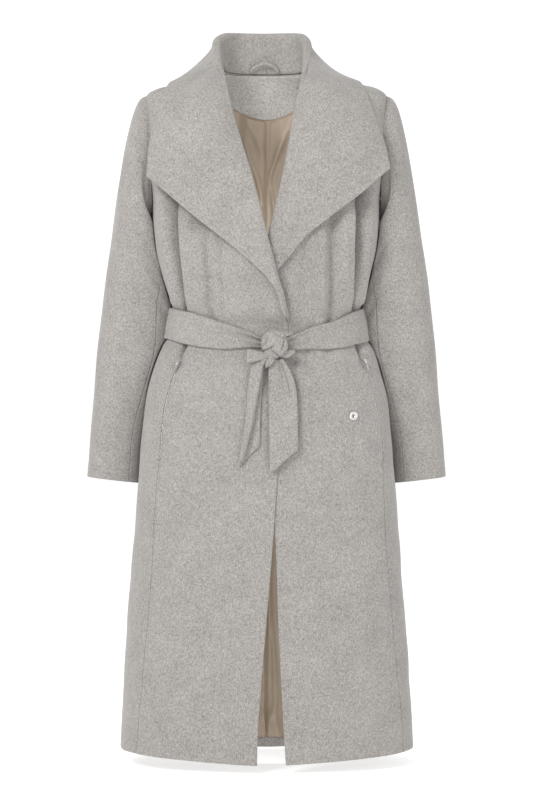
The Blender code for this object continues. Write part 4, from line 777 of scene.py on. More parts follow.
class Look:
    """A material in the making, with one method that adds any node."""

    def __init__(self, name, slot):
        self.slot = slot
        self.material = bpy.data.materials.new(name)
        self.material.use_nodes = True
        self.tree = self.material.node_tree
        self.shader = self.tree.nodes["Principled BSDF"]

    def node(self, kind, settings=None, inputs=None):
        made = self.tree.nodes.new(kind)
        for name, value in (settings or {}).items():
            setattr(made, name, value)
        self.feed(made, inputs or {})
        return made

    def feed(self, node, inputs):
        for key, value in inputs.items():
            if isinstance(value, Value):
                self.tree.links.new(value.socket, node.inputs[key])
            else:
                node.inputs[key].default_value = value

    def shine(self, inputs):
        self.feed(self.shader, inputs)

    def place(self, stretch=(1.0, 1.0, 1.0)):
        """Object coordinates, stretched along an axis where a pattern runs that way."""
        here = Value(self, self.node("ShaderNodeTexCoord").outputs["Object"])
        mapped = self.node("ShaderNodeMapping", None, {"Vector": here, "Scale": stretch})
        return Value(self, mapped.outputs[0])

    def noise(self, where, scale, detail=2.0, rough=0.5):
        inputs = {"Vector": where, "Scale": scale, "Detail": detail, "Roughness": rough}
        return Value(self, self.node("ShaderNodeTexNoise", None, inputs).outputs[0])

    def between(self, factor, low, high):
        """A colour between two, by a factor held to 0..1."""
        made = self.node("ShaderNodeMix", {"data_type": "RGBA"}, {0: factor, 6: low, 7: high})
        return Value(self, made.outputs[2])

    def bump(self, height, strength, distance):
        inputs = {"Height": height, "Strength": strength, "Distance": distance}
        self.shine({"Normal": Value(self, self.node("ShaderNodeBump", None, inputs).outputs[0])})


def shade(colour, share):
    return (*(min(part * share, 1.0) for part in colour), 1.0)


WOOL_COLOUR = (0.322, 0.3045, 0.2860)
MELANGE = 0.40


def wool_look(name, tone=1.0, nap=1.0):
    """Brushed melange wool: light and dark fibres mixed at a millimetre, with a soft nap."""
    look = Look(name, "wool")
    where = look.place()
    speckle = look.noise(where, 620.0, 2.0, 0.6)
    flock = look.noise(where, 330.0, 2.0, 0.55)
    cloud = look.noise(where, 22.0, 3.0, 0.6)
    fibre = look.noise(look.place((1.0, 1.0, 0.22)), 900.0, 1.0)
    melange = (speckle - 0.5) * 1.6 + (flock - 0.5) * 1.2 + (fibre - 0.5) * 0.9 + (cloud - 0.5) * 0.4 + 0.5
    low, high = shade(WOOL_COLOUR, tone * (1 - MELANGE)), shade(WOOL_COLOUR, tone * (1 + MELANGE))
    look.shine(
        {
            "Base Color": look.between(melange, low, high),
            "Roughness": (speckle - 0.5) * 0.12 + 0.93,
            "Sheen Weight": 0.25,
            "Sheen Roughness": 0.55,
            "Specular IOR Level": 0.2,
        }
    )
    look.bump(speckle * 0.5 + flock * 0.6 + fibre * 0.4, 0.5 * nap, 0.0009)
    return look


def satin_look(name, colour):
    """Woven satin: a smooth sheen with fine warp threads down the cloth."""
    look = Look(name, "lining_satin")
    warp = look.noise(look.place((1.0, 1.0, 0.05)), 1400.0, 1.0)
    cloud = look.noise(look.place((1.0, 1.0, 0.35)), 26.0, 3.0)
    threads = (warp - 0.5) * 0.8 + (cloud - 0.5) * 0.9 + 0.5
    threads = look.between(threads, shade(colour, 0.86), shade(colour, 1.14))
    look.shine({"Base Color": threads, "Roughness": (cloud - 0.5) * 0.2 + 0.46, "Specular IOR Level": 0.45})
    look.bump(warp * 0.4 + cloud, 0.22, 0.0015)
    return look


def metal_look(name, colour):
    """Polished nickel-coloured metal with a faint wear in its gloss."""
    look = Look(name, "silver")
    wear = look.noise(look.place(), 900.0, 3.0)
    worn = look.between(wear, shade(colour, 0.93), shade(colour, 1.05))
    look.shine({"Base Color": worn, "Roughness": (wear - 0.5) * 0.2 + 0.27, "Metallic": 1.0})
    return look


wool = wool_look("wool_cloth")
# The neck facing is the coat's wool painted 1.26 times lighter: painted light on the inside of the neck,
# which the lamps leave in shade.
facing_wool_painted_light = wool_look("facing_wool_painted_light", 1.26, 0.6)
thread = wool_look("thread", 0.86, 0.4)
tape = wool_look("zip_tape", 0.28, 0.5)
satin = satin_look("lining_satin", (0.345, 0.275, 0.205))
piping_satin = satin_look("piping_satin", (0.40, 0.285, 0.185))
silver = metal_look("silver", (0.86, 0.86, 0.85))

# ---------------------------------------------------------------- meshes
def quads(at):
    """The four corners of every cell of a grid of point numbers."""
    return np.stack([at[:-1, :-1], at[:-1, 1:], at[1:, 1:], at[1:, :-1]], -1).reshape(-1, 4)


def numbered(rows, cols, around=False):
    at = np.arange(rows * cols).reshape(rows, cols)
    return np.concatenate([at, at[:, :1]], 1) if around else at


def outward(points, faces):
    """The faces, turned over if their signed volume says that they point inwards."""
    one, two, three, four = (points[faces[:, i]] for i in range(4))
    volume = (one * np.cross(two, three)).sum() + (one * np.cross(three, four)).sum()
    return faces if volume > 0 else faces[:, ::-1]


def add_mesh(name, points, faces, material):
    """A smooth mesh at the origin; a face whose corners meet becomes a triangle."""
    mesh = bpy.data.meshes.new(name)
    mesh.from_pydata(points.tolist(), [], [list(dict.fromkeys(face)) for face in faces.tolist()])
    mesh.materials.append(material)
    mesh.shade_smooth()
    made = bpy.data.objects.new(name, mesh)
    bpy.context.scene.collection.objects.link(made)
    return made


def add_piece(name, points, faces, look, replaces=()):
    """A closed mesh that rides on the coat and stands for the solids it replaces."""
    made = add_mesh(name, points, outward(points, faces), look.material)
    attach(made, "coat")
    if replaces:
        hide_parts(*replaces)
    return made


def shell(name, outer, inner, look, replaces=(), around=False):
    """A closed thin shell between two sheets of points, with strips along the edges that are open."""
    at = numbered(*outer.shape[:2], around)
    count = outer.shape[0] * outer.shape[1]
    strips = [(at[0, 1:], at[0, :-1]), (at[-1, :-1], at[-1, 1:])]
    if not around:
        strips += [(at[:-1, 0], at[1:, 0]), (at[1:, -1], at[:-1, -1])]
    edges = [np.stack([one, two, two + count, one + count], -1) for one, two in strips]
    faces = np.concatenate([quads(at), quads(at)[:, ::-1] + count] + edges)
    points = np.concatenate([outer.reshape(-1, 3), inner.reshape(-1, 3)])
    return add_piece(name, points, faces, look, replaces)


def closed_ball(name, rings, ends, look, replaces=()):
    """A closed form from rings of points, with a point at each end."""
    rows, cols = rings.shape[:2]
    at = numbered(rows, cols, True) + 1
    at = np.concatenate([0 * at[:1], at, 0 * at[:1] + rows * cols + 1])
    points = np.concatenate([ends[:1], rings.reshape(-1, 3), ends[1:]])
    return add_piece(name, points, quads(at), look, replaces)


def edge_drop(points, edges, thick, radius):
    """How far each face of a cloth falls towards its middle near the named edges.

    The drop is half the thickness times 1 - sqrt(1 - t^2), with t = 1 - distance / radius: a quarter of
    an ellipse, which rounds the edge over.
    """
    across = np.linalg.norm(np.diff(points, axis=1, prepend=points[:, :1]), axis=-1).cumsum(1)
    down = np.linalg.norm(np.diff(points, axis=0, prepend=points[:1]), axis=-1).cumsum(0)
    ways = {"start": across, "end": across[:, -1:] - across, "top": down, "bottom": down[-1:] - down}
    away = np.min([ways[edge] for edge in edges], axis=0)
    t = np.clip(1 - away / radius, 0, 0.995)
    return thick / 2 * (1 - np.sqrt(1 - t * t))


def sheet_piece(node, outer, inner, look=wool, kind="cloth", held="hung", on="back", around=False):
    """A shell in place of a solid; the flat cut of what shows of it is looked up but not used."""
    piece = shell(f"{node}_{kind}", outer, inner, look, (node,), around)
    width, length, area = CUTS[node] if node in CUTS else CUTS[node.rsplit("_", 1)[0]]


def two_faces(surface, height, thick, drop):
    """Both faces of a cloth whose outer one stands at a height over a surface."""
    return surface(height - drop), surface(height - thick + drop)


def grid_normal(points):
    """Normals of a grid of points, from the differences between neighbours."""
    return unit(np.cross(np.gradient(points, axis=0), np.gradient(points, axis=1)))


# ---------------------------------------------------------------- fronts, sides and back
PANEL_EDGES = ("start", "end", "bottom")


def panel(node, side, angle, level, edges):
    """A front or side: its outer edge is rounded only below the armhole, where it meets a neighbour."""
    plain = torso(angle, level)
    drop = edge_drop(plain, edges, CLOTH, EDGE_RADIUS)
    flush = edge_drop(plain, [edge for edge in edges if edge != "end"], CLOTH, EDGE_RADIUS)
    drop = mix(drop, flush, rise(level, NOTCH_LEVEL, NOTCH_LEVEL + 0.02))
    height = relief(side, angle, level)
    sheet_piece(node, *two_faces(lambda lift: body(side, angle, level, lift), height, CLOTH, drop))


def make_front(side):
    level = PANEL_LEVELS
    share = shares(*ACROSS["front"])
    end = side * outer_angle(level, 0, pocket_seam_angle(side, level))
    start, end = trimmed(front_edge_angle(side, level), end, level, SEAM / 2, pocket_gap(level))
    angle = mix(start[:, None], end[:, None], share)
    panel(f"front_{SIDE_NAMES[side]}", side, angle, line_grid(level, share), PANEL_EDGES)


def make_side(side):
    """A side panel, whose top rows run down from the bottom of the armhole."""
    share = shares(*ACROSS["side"]) ** 1.3
    top = side_top_level(side, share)
    top[0] = top[-1] = NOTCH_LEVEL
    upper = shares(34, 0.13, near_end=False)[:-1]
    lower = PANEL_LEVELS[PANEL_LEVELS <= SIDE_FULL_LEVEL + 1e-6]
    level = np.concatenate([mix(top[None, :], SIDE_FULL_LEVEL, upper[:, None]), line_grid(lower, share)])
    start, end = trimmed(pocket_seam_angle(side, level), back_seam_angle(level), level, pocket_gap(level))
    panel(f"side_{SIDE_NAMES[side]}", side, side * mix(start, end, share), level, PANEL_EDGES + ("top",))


def make_back():
    level = PANEL_LEVELS
    share = shares(*ACROSS["back"]) * 2 - 1
    _, end = trimmed(np.full(len(level), math.pi), back_outer_angle(level), level)
    angle = mix(math.pi, end[:, None], share)
    rows = line_grid(level, share)
    height = relief(LEFT, angle, rows) + back_fullness(angle, rows)
    drop = edge_drop(torso(angle, rows), PANEL_EDGES, CLOTH, EDGE_RADIUS)
    faces = two_faces(lambda lift: lifted(angle, rows, lift), height, CLOTH, drop)
    sheet_piece("back", *faces, on="neck_facing")


# ---------------------------------------------------------------- sleeves
# Rings of the sleeve from the armhole to the cuff: their outer and inner ends, how far back their
# middle is, and how deep they are before and behind it. All on the wearer's left.
SLEEVE_COLUMNS = (
    "along", "outer_x", "outer_z", "inner_x", "inner_z", "middle_y", "front_depth", "back_depth",
)
SLEEVE_RINGS = (
    (0.000, 0.2030, -0.0270, 0.1925, -0.2350, 0.000, 0.0600, 0.0720),
    (0.010, 0.2120, -0.0315, 0.1946, -0.2395, 0.000, 0.0625, 0.0740),
    (0.030, 0.2225, -0.0500, 0.1948, -0.2430, 0.002, 0.0660, 0.0760),
    (0.060, 0.2310, -0.0790, 0.1948, -0.2475, 0.004, 0.0690, 0.0760),
    (0.100, 0.2400, -0.1180, 0.1940, -0.2560, 0.007, 0.0710, 0.0750),
    (0.170, 0.2525, -0.1890, 0.1898, -0.2880, 0.012, 0.0700, 0.0720),
    (0.250, 0.2650, -0.2700, 0.1835, -0.3350, 0.018, 0.0660, 0.0660),
    (0.400, 0.2850, -0.4200, 0.1850, -0.4430, 0.030, 0.0550, 0.0550),
    (0.530, 0.2975, -0.5500, 0.2035, -0.5620, 0.042, 0.0490, 0.0490),
    (0.655, 0.3085, -0.6755, 0.2140, -0.6865, 0.050, 0.0440, 0.0440),
)
SLEEVE = columns(SLEEVE_RINGS, SLEEVE_COLUMNS)
SLEEVE_SEAM_TURNS = {"top_front": 158.0, "front": 122.0, "back": 240.0}


def sleeve(side, turn, along):
    """A point of a sleeve: turn is 0 on its outer edge and grows to the front, round its ring."""
    ring = {name: flow(along, SLEEVE["along"], SLEEVE[name]) for name in SLEEVE_COLUMNS[1:]}
    sine, cosine = np.sin(turn), np.cos(turn)
    power = mix(2.0, SLEEVE_POWER, rise(along, 0.0, 0.06))
    across = (1 + rounded_power(cosine, 2 / power)) / 2
    y = np.where(sine > 0, -ring["front_depth"], ring["back_depth"]) * np.abs(sine) ** (2 / power)
    x = mix(ring["inner_x"], ring["outer_x"], across)
    z = mix(ring["inner_z"], ring["outer_z"], across)
    # The first ring follows the side of the body rather than a flat plane.
    flat = mix(SLEEVE["inner_x"][0], SLEEVE["outer_x"][0], across)
    x = x + (section_x(y, z, 0.05) - flat) * (1 - rise(along, 0.0, 0.05))
    return np.stack([side * x, y + ring["middle_y"], z], -1)


def sleeve_normal(side, turn, along):
    round_it = sleeve(side, turn + SMALL, along) - sleeve(side, turn - SMALL, along)
    low, high = np.clip(along - SMALL, 0, None), np.clip(along + SMALL, None, SLEEVE_LENGTH)
    return side * unit(np.cross(round_it, sleeve(side, turn, high) - sleeve(side, turn, low)))


def worn_sleeve(side, turn, along):
    """The sleeve as it hangs against the body: its inner side swells in to the waist, but not into it."""
    place = sleeve(side, turn, along)
    x, y, z = np.abs(place[..., 0]), place[..., 1], place[..., 2]
    swell = SLEEVE_SWELL * plateau(along, 0.05, 0.20, 0.42, 0.60)
    inner = ((1 - np.cos(turn - SWELL_TURN)) / 2) ** 2
    held = softly(x - swell * inner, section_x(y, z) + 0.001)
    x = mix(x, np.minimum(held, x), rise(along, 0.05, 0.12))
    return np.stack([side * x, y, z], -1)


def make_sleeve(side):
    """Upper and under sleeve: their first rows stand square to the rim of the armhole."""
    rows = finer((0.0, SLEEVE_LENGTH), SLEEVE_ROW_STEP)
    along = np.unique(np.concatenate([rows, EDGE_STEPS, SLEEVE_LENGTH - EDGE_STEPS]))
    top_front, front, back = (math.radians(turn) for turn in SLEEVE_SEAM_TURNS.values())
    front = mix(top_front, front, rise(along, 0.05, 0.35))
    gap = SEAM / 2 / SLEEVE_SEAM_RADIUS
    for part, start, end in (
        ("upper", back - 2 * math.pi + 0 * front, front),
        ("under", front, back + 0 * front),
    ):
        share = shares(*ACROSS[f"sleeve_{part}"])
        turn = mix((start + gap)[:, None], (end - gap)[:, None], share)
        rows = line_grid(along, share)
        place = worn_sleeve(side, turn, rows)
        radial = unit((place[:1] - [0, 0.004, ARMHOLE_MIDDLE]) * [0, 1, 1])
        out = unit(mix(radial, sleeve_normal(side, turn, rows), rise(rows, 0.0, 0.010)[..., None]))
        place = place - np.array([side * SEAM * 2, 0, 0]) * (1 - rise(rows, 0.0, 0.01))[..., None]
        drop = edge_drop(place, PANEL_EDGES, CLOTH, EDGE_RADIUS)
        height = sleeve_relief(side, turn, rows)
        faces = two_faces(lambda lift: place + out * lift[..., None], height, CLOTH, drop)
        sheet_piece(f"sleeve_{part}_{SIDE_NAMES[side]}", *faces)


# ---------------------------------------------------------------- collar and lapels
# Stations from the middle of the back round to the bottom of the lapel: where the collar is sewn on
# (an angle round the neck, then a height down the front edge), x, y and z of its roll, x, y and z of its
# outer edge, and the radius of the roll. A y of None is taken from the front below.
COLLAR = {
    RIGHT: (
        (180.0, -0.0040, 0.073, 0.0880, 0.0000, 0.118, -0.0450, 0.0060),
        (146.0, -0.0420, 0.068, 0.0880, -0.0800, 0.112, -0.0400, 0.0060),
        (118.0, -0.0690, 0.045, 0.0850, -0.1320, 0.075, -0.0120, 0.0060),
        (96.0, -0.0860, 0.008, 0.0660, -0.1545, 0.020, -0.0030, 0.0060),
        (0.0120, -0.0805, -0.032, 0.0325, -0.1670, -0.067, -0.0300, 0.0062),
        (0.0010, -0.0710, -0.060, 0.0010, -0.1860, -0.084, -0.0840, 0.0062),
        (-0.0690, -0.0550, None, -0.0735, -0.1955, -0.094, -0.1290, 0.0048),
        (-0.1250, -0.0400, None, -0.1250, -0.1985, -0.098, -0.1730, 0.0045),
        (-0.1820, -0.0225, None, -0.1825, -0.1550, -0.117, -0.2105, 0.0042),
        (-0.2350, -0.0095, None, -0.2350, -0.0970, None, -0.2590, 0.0040),
        (-0.2760, 0.0010, None, -0.2767, -0.0500, None, -0.2960, 0.0038),
        (-0.3380, 0.0175, None, -0.3390, 0.0015, None, -0.3440, 0.0034),
        (-0.3690, 0.0272, None, -0.3705, 0.0150, None, -0.3640, 0.0030),
        (-0.4070, 0.0352, None, -0.4075, 0.0255, None, -0.3980, 0.0026),
    ),
    LEFT: (
        (180.0, -0.0040, 0.073, 0.0880, 0.0000, 0.118, -0.0450, 0.0060),
        (146.0, 0.0330, 0.068, 0.0880, 0.0800, 0.112, -0.0400, 0.0060),
        (118.0, 0.0600, 0.044, 0.0835, 0.1280, 0.075, -0.0120, 0.0060),
        (96.0, 0.0695, 0.008, 0.0645, 0.1480, 0.020, -0.0030, 0.0060),
        (0.0120, 0.0655, -0.032, 0.0325, 0.1625, -0.066, -0.0320, 0.0062),
        (0.0010, 0.0605, -0.060, 0.0010, 0.1800, -0.082, -0.0770, 0.0062),
        (-0.0600, 0.0480, None, -0.0625, 0.1960, -0.092, -0.1180, 0.0048),
        (-0.1060, 0.0405, None, -0.1050, 0.2050, -0.096, -0.1595, 0.0045),
        (-0.1560, 0.0310, None, -0.1560, 0.1600, -0.116, -0.1995, 0.0040),
        (-0.2150, 0.0180, None, -0.2150, 0.1040, None, -0.2430, 0.0032),
        (-0.2760, 0.0035, None, -0.2767, 0.0655, None, -0.2740, 0.0027),
        (-0.3190, -0.0060, None, -0.3200, 0.0370, None, -0.3090, 0.0026),
        (-0.3510, -0.0130, None, -0.3520, 0.0120, None, -0.3380, 0.0026),
        (-0.3810, -0.0205, None, -0.3820, -0.0065, None, -0.3690, 0.0026),
    ),
}
NECK_STATIONS = 4  # stations sewn round the neck; the others are sewn down the front edge
CORNER_STATION = 7
NECK_CORNER_AT = 3.45  # where, in stations, the neck seam turns down the front edge
COLLAR_DEGREES = (180.0, 157.5, 135.0, 112.5, 90.0)
COLLAR_END_LEVEL = {RIGHT: -0.372, LEFT: -0.350}
EDGE_LIFT = 0.0065  # middle of the lapel's edge over the front
EDGE_LIFT_UNDER_LAP = 0.0042
STAND_SHARE = 0.14  # share of the way across taken by the stand
ROLL_SHARE = 0.35  # and by the stand and the roll
FALL_BULGE = 0.15  # how far the fall rounds outward, as a share of its reach
COLLAR_ROW_STEP = 0.15  # in stations
EASING_ROUNDS = 70


def front_level(x, z):
    """The angle and the level of a front at an x and a height."""
    level = np.array(z, float)
    for _ in range(6):
        angle = angle_at_x(x, level)
        level = np.clip(z - bend(angle, level), HEM_LEVEL, NECK_LEVEL)
    return angle, level


def front_y(side, x, z):
    """How far forward the front stands at x and z."""
    angle, level = front_level(x, z)
    facing = np.maximum(-torso_normal(angle, level)[..., 1], 0.5)
    return torso(angle, level)[..., 1] - front_lift(side, angle, level) / facing


def lapel_lift(side, at):
    """Height of the middle of the fall over the front: less where the right front laps over it."""
    under_lap = rise(at, 9.0, 10.5) * (side == LEFT)
    return mix(EDGE_LIFT, EDGE_LIFT_UNDER_LAP, under_lap)


def collar_stations(side):
    """Roll, outer edge and radius at every station."""
    _, roll, edge, radius = np.split(np.array(COLLAR[side], float), (1, 4, 7), 1)
    over = radius[:, 0] - DOUBLE / 2, lapel_lift(side, np.arange(len(edge)))
    for line, lift in zip((roll, edge), over):
        line[:, 1] = np.where(np.isnan(line[:, 1]), front_y(side, line[:, 0], line[:, 2]) - lift, line[:, 1])
    return roll, edge, radius


def through(values, at):
    """A smooth curve through the stations that keeps the corner of the lapel sharp."""
    knots = np.arange(len(values), dtype=float)
    result = []
    for column in values.T:
        first = flow(at, knots[: CORNER_STATION + 1], column[: CORNER_STATION + 1])
        last = flow(at, knots[CORNER_STATION:], column[CORNER_STATION:])
        result.append(np.where(at <= CORNER_STATION, first, last))
    return np.stack(result, -1)


def collar_rows(side):
    """Rows of half a collar: round the neck by angle, then down the front edge by level.

    Gives where each row is in stations, where it is sewn on, and the way out of the cloth there. The
    rows are set close, so that every column runs smoothly through the sewn places.
    """
    sewn_at = [row[0] for row in COLLAR[side]]
    corner_angle = side * front_edge_angle(side, np.array(NECK_LEVEL))
    angle = np.append(np.radians(COLLAR_DEGREES), corner_angle)
    knots = np.radians(sewn_at[:NECK_STATIONS] + [math.degrees(corner_angle)])
    round_at = np.interp(-angle, -knots, np.append(np.arange(NECK_STATIONS), NECK_CORNER_AT))
    level = np.full(len(angle), NECK_LEVEL)
    neck_out = unit(torso_normal(side * angle, level) * [1, 1, 0])
    neck = lifted(side * angle, level) + [0, 0, SEAM]

    level = np.array([level for level in LEVELS if COLLAR_END_LEVEL[side] <= level < NECK_LEVEL])
    angle = front_edge_angle(side, level)
    angle = angle - side * SEAM / 2 / radius_at(angle, level)
    edge = body(side, angle, level)
    knots = np.array([NECK_LEVEL] + sewn_at[NECK_STATIONS:])
    edge_stations = np.append(NECK_CORNER_AT, np.arange(NECK_STATIONS, len(sewn_at)))
    edge_at = np.interp(-edge[:, 2], -knots, edge_stations)
    edge_out = torso_normal(angle, level)
    edge_out = unit(mix(unit(edge_out * [1, 1, 0]), edge_out, rise(edge_at, 4.6, 6.2)[:, None]))
    out = np.concatenate([neck_out, edge_out])
    sewn = np.concatenate([neck, edge]) - out * DOUBLE / 2
    rows = np.column_stack([np.concatenate([round_at, edge_at]), sewn, out])
    # The corner of the neck is short where it is sewn and long where it falls over the shoulder.
    corner = len(COLLAR_DEGREES)
    between = (rows[corner : corner + 2] + rows[corner + 1 : corner + 3]) / 2
    rows = np.insert(rows, [corner + 1, corner + 2], between, axis=0)
    rows[:, 4:] = unit(rows[:, 4:])

    index = np.arange(len(rows), dtype=float)
    corner = np.interp(CORNER_STATION, rows[:, 0], index)
    near = np.array([0.01, 0.03, 0.06])
    where = finer(index, COLLAR_ROW_STEP)
    where = [where, corner + np.array([-0.05, -0.02, 0, 0.02, 0.05]), near, index[-1] - near]
    where = np.unique(np.clip(np.concatenate(where), 0, index[-1]))
    rows = np.stack([flow(where, index, column) for column in rows.T], -1)
    return rows[:, 0], rows[:, 1:4], unit(rows[:, 4:])


def over_body(points):
    """The nearest place of the plain body: its angle and level, the way out, and the height over it."""
    angle = np.arctan2(points[:, 0], -points[:, 1])
    level = np.clip(points[:, 2], -1.0, NECK_LEVEL)
    for _ in range(8):
        away = points - torso(angle, level)
        side_way = (torso(angle + SMALL, level) - torso(angle - SMALL, level)) / (2 * SMALL)
        up_way = (torso(angle, level + SMALL) - torso(angle, level - SMALL)) / (2 * SMALL)
        a, b, c = (side_way**2).sum(-1), (side_way * up_way).sum(-1), (up_way**2).sum(-1)
        p, q = (away * side_way).sum(-1), (away * up_way).sum(-1)
        scale = np.maximum(a * c - b * b, 1e-9)
        angle = angle + np.clip((p * c - q * b) / scale, -0.15, 0.15)
        level = np.clip(level + np.clip((q * a - p * b) / scale, -0.02, 0.02), -1.0, NECK_LEVEL)
    out = torso_normal(angle, level)
    return angle, level, out, ((points - torso(angle, level)) * out).sum(-1)


def collar_middle(side, rows, across):
    """Middle surface of half a collar: up the stand, over the roll and down to the edge."""
    at, sewn, out = rows
    roll, edge, radius = (through(part, at) for part in collar_stations(side))
    on_front = front_y(side, roll[:, 0], roll[:, 2]) - (radius[:, 0] - DOUBLE / 2)
    roll[:, 1] = mix(roll[:, 1], on_front, rise(at, 4.3, 5.0))
    up = roll - sewn
    up = unit(up - out * (out * up).sum(-1, keepdims=True))
    centre = roll - up * radius
    foot, top = centre - out * radius, centre + out * radius
    reach = np.linalg.norm(edge - top, axis=-1, keepdims=True)
    leave, arrive = -up * reach * 0.7, (edge - top) * 0.9
    # Where it crosses from the shoulder to the chest, the fall rounds outward.
    bulge = reach * (FALL_BULGE * plateau(at, 3.2, 4.4, 6.5, 9.0))[:, None]
    grid = []
    for share in across:
        if share <= STAND_SHARE:
            grid.append(mix(sewn, foot, share / STAND_SHARE))
            continue
        if share <= ROLL_SHARE:
            turn = math.pi * (share - STAND_SHARE) / (ROLL_SHARE - STAND_SHARE)
            grid.append(centre - out * radius * math.cos(turn) + up * radius * math.sin(turn))
            continue
        t = (share - ROLL_SHARE) / (1 - ROLL_SHARE)
        point = mix(top, edge, t * t * (3 - 2 * t)) + out * bulge * 4 * t * (1 - t)
        point = point + t * (1 - t) ** 2 * leave - t * t * (1 - t) * arrive
        # The fall never sinks into the shoulder or the front under it.
        angle, level, way_out, height = over_body(point)
        wanted = mix(2 * radius[:, 0] - DOUBLE / 2, lapel_lift(side, at), rise(t, 0, 0.4))
        push = softly(height, wanted + front_lift(side, angle, level)) - height
        grid.append(point + way_out * (push * rise(t, -0.2, 0.15))[:, None])
    return np.stack(grid, 1)


def eased(middle, at, share):
    """The collar's middle with the corner of the neck smoothed out along its rows, but for its foot."""
    near = plateau(at, 2.8, 3.4, 5.0, 5.8)
    weight = (near[:, None] * rise(share, 0.0, 0.10))[1:-1, :, None]
    for _ in range(EASING_ROUNDS):
        average = (middle[:-2] + 2 * middle[1:-1] + middle[2:]) / 4
        middle[1:-1] = mix(middle[1:-1], average, weight)
    return middle


def make_collar(side):
    node = f"collar_{SIDE_NAMES[side]}"
    at, sewn, way_out = collar_rows(side)
    share = shares(*ACROSS["collar"], near_start=False)
    middle = eased(collar_middle(side, (at, sewn, way_out), share), at, share)
    normal = side * grid_normal(middle)
    normal[:, 0] = way_out * np.sign((normal[:, 0] * way_out).sum(-1, keepdims=True))
    # The halves meet along the middle of the back.
    middle[0, :, 0] = side * SEAM / 2
    normal[0, :, 0] = 0
    normal[0] = unit(normal[0])
    at = at[:, None]
    wave = 0.0009 * np.sin(at * 1.9 + share * 5.0 + side) + 0.0006 * np.sin(at * 4.3 - share * 7.0)
    middle = middle + normal * (wave * plateau(share, 0.42, 0.6, 0.9, 1.0))[..., None]
    drop = edge_drop(middle, ("end", "bottom", "top"), DOUBLE, COLLAR_EDGE_RADIUS)
    faces = two_faces(lambda lift: middle + normal * lift[..., None], DOUBLE / 2, DOUBLE, drop)
    sheet_piece(node, *faces, held="folded")


# ---------------------------------------------------------------- belt
BELT_COLUMNS = ("degrees", "middle_z", "half_height")
BELT = columns(
    (
        (-180.0, -0.4140, 0.0285),
        (-100.0, -0.4140, 0.0285),
        (-80.0, -0.4150, 0.0265),
        (-60.0, -0.4240, 0.0280),
        (-36.0, -0.4380, 0.0220),
        (-15.0, -0.4445, 0.0130),
        (-3.0, -0.4500, 0.0085),
        (14.0, -0.4510, 0.0085),
        (21.0, -0.4500, 0.0115),
        (36.5, -0.4420, 0.0180),
        (51.0, -0.4370, 0.0230),
        (72.0, -0.4215, 0.0285),
        (100.0, -0.4150, 0.0285),
        (180.0, -0.4140, 0.0285),
    ),
    BELT_COLUMNS,
)
# Folds where the belt is drawn into the knot: share across, half width, height.
BELT_FOLDS = {
    RIGHT: ((0.72, 0.16, 0.0030), (0.36, 0.17, -0.0046), (-0.05, 0.24, 0.0026), (-0.60, 0.16, -0.0020)),
    LEFT: ((0.55, 0.16, -0.0028), (0.20, 0.20, 0.0026), (-0.40, 0.14, -0.0030), (-0.75, 0.14, 0.0016)),
}
BELT_HALF_HEIGHT = 0.0285  # where it isn't gathered
BELT_SPOKES = 360
KNOT_DEGREES = 8


def belt_point(angle, z, lift):
    """A place over the body where the belt runs, clear of the lap of the fronts."""
    level = np.array(z, float)
    for _ in range(8):
        level = z - bend(angle, level)
    x = torso(angle, level)[..., 0]
    lap = (CLOTH + CLEAR) * plateau(x, -0.085, -0.045, 0.045, 0.085)
    return lifted(angle, level, lap + BELT_CLEAR + lift)


def belt_fullness(degrees, share, half):
    """The belt's front face over flat: a soft crown, and folds that deepen towards the knot."""
    gather = 0.25 + np.clip(1 - half / BELT_HALF_HEIGHT, 0, 1)
    height = 0.0011 * (1 - share**2) + 0.0005 * np.sin(np.radians(degrees) * 9 + share * 2.2)
    for side, folds in BELT_FOLDS.items():
        away = side * (degrees - KNOT_DEGREES)
        this_side = plateau(away, 2, 14, 60, 84) * gather
        for middle, width, size in folds:
            height = height + this_side * size * mound((share - middle) / width)
    return height


def make_belt():
    degrees = np.linspace(-180, 180, BELT_SPOKES + 1)[:-1]
    share = 1 - 2 * shares(*ACROSS["belt"])[:, None]
    half = flow(degrees, BELT["degrees"], BELT["half_height"])
    z = flow(degrees, BELT["degrees"], BELT["middle_z"]) + half * share
    angle = np.broadcast_to(np.radians(degrees), z.shape)
    drop = edge_drop(belt_point(angle, z, DOUBLE / 2), ("top", "bottom"), DOUBLE, BELT_EDGE_RADIUS)
    outer = belt_point(angle, z, DOUBLE - drop + belt_fullness(degrees, share, half))
    sheet_piece("belt_band", outer, belt_point(angle, z, drop), held="draped", around=True)


# Grooves between the wraps of the knot: a place on each, its direction, reach, half width and depth.
GROOVES = (
    (-0.46, -0.34, 20.0, 0.52, 0.055, 0.34),
    (0.05, -0.66, -34.0, 0.55, 0.055, 0.26),
    (0.40, 0.60, -24.0, 0.55, 0.060, 0.20),
    (0.76, 0.08, 78.0, 0.55, 0.060, 0.24),
    (-0.68, 0.24, 62.0, 0.50, 0.060, 0.24),
)
LUMP_CENTRE = np.array((0.0128, -0.1290, -0.4530))
LUMP_HALF = np.array((0.0222, 0.0150, 0.0232))
LUMP_POWER = 0.85  # 1 is a ball, and less is squarer
LUMP_RINGS, LUMP_SPOKES = 90, 150


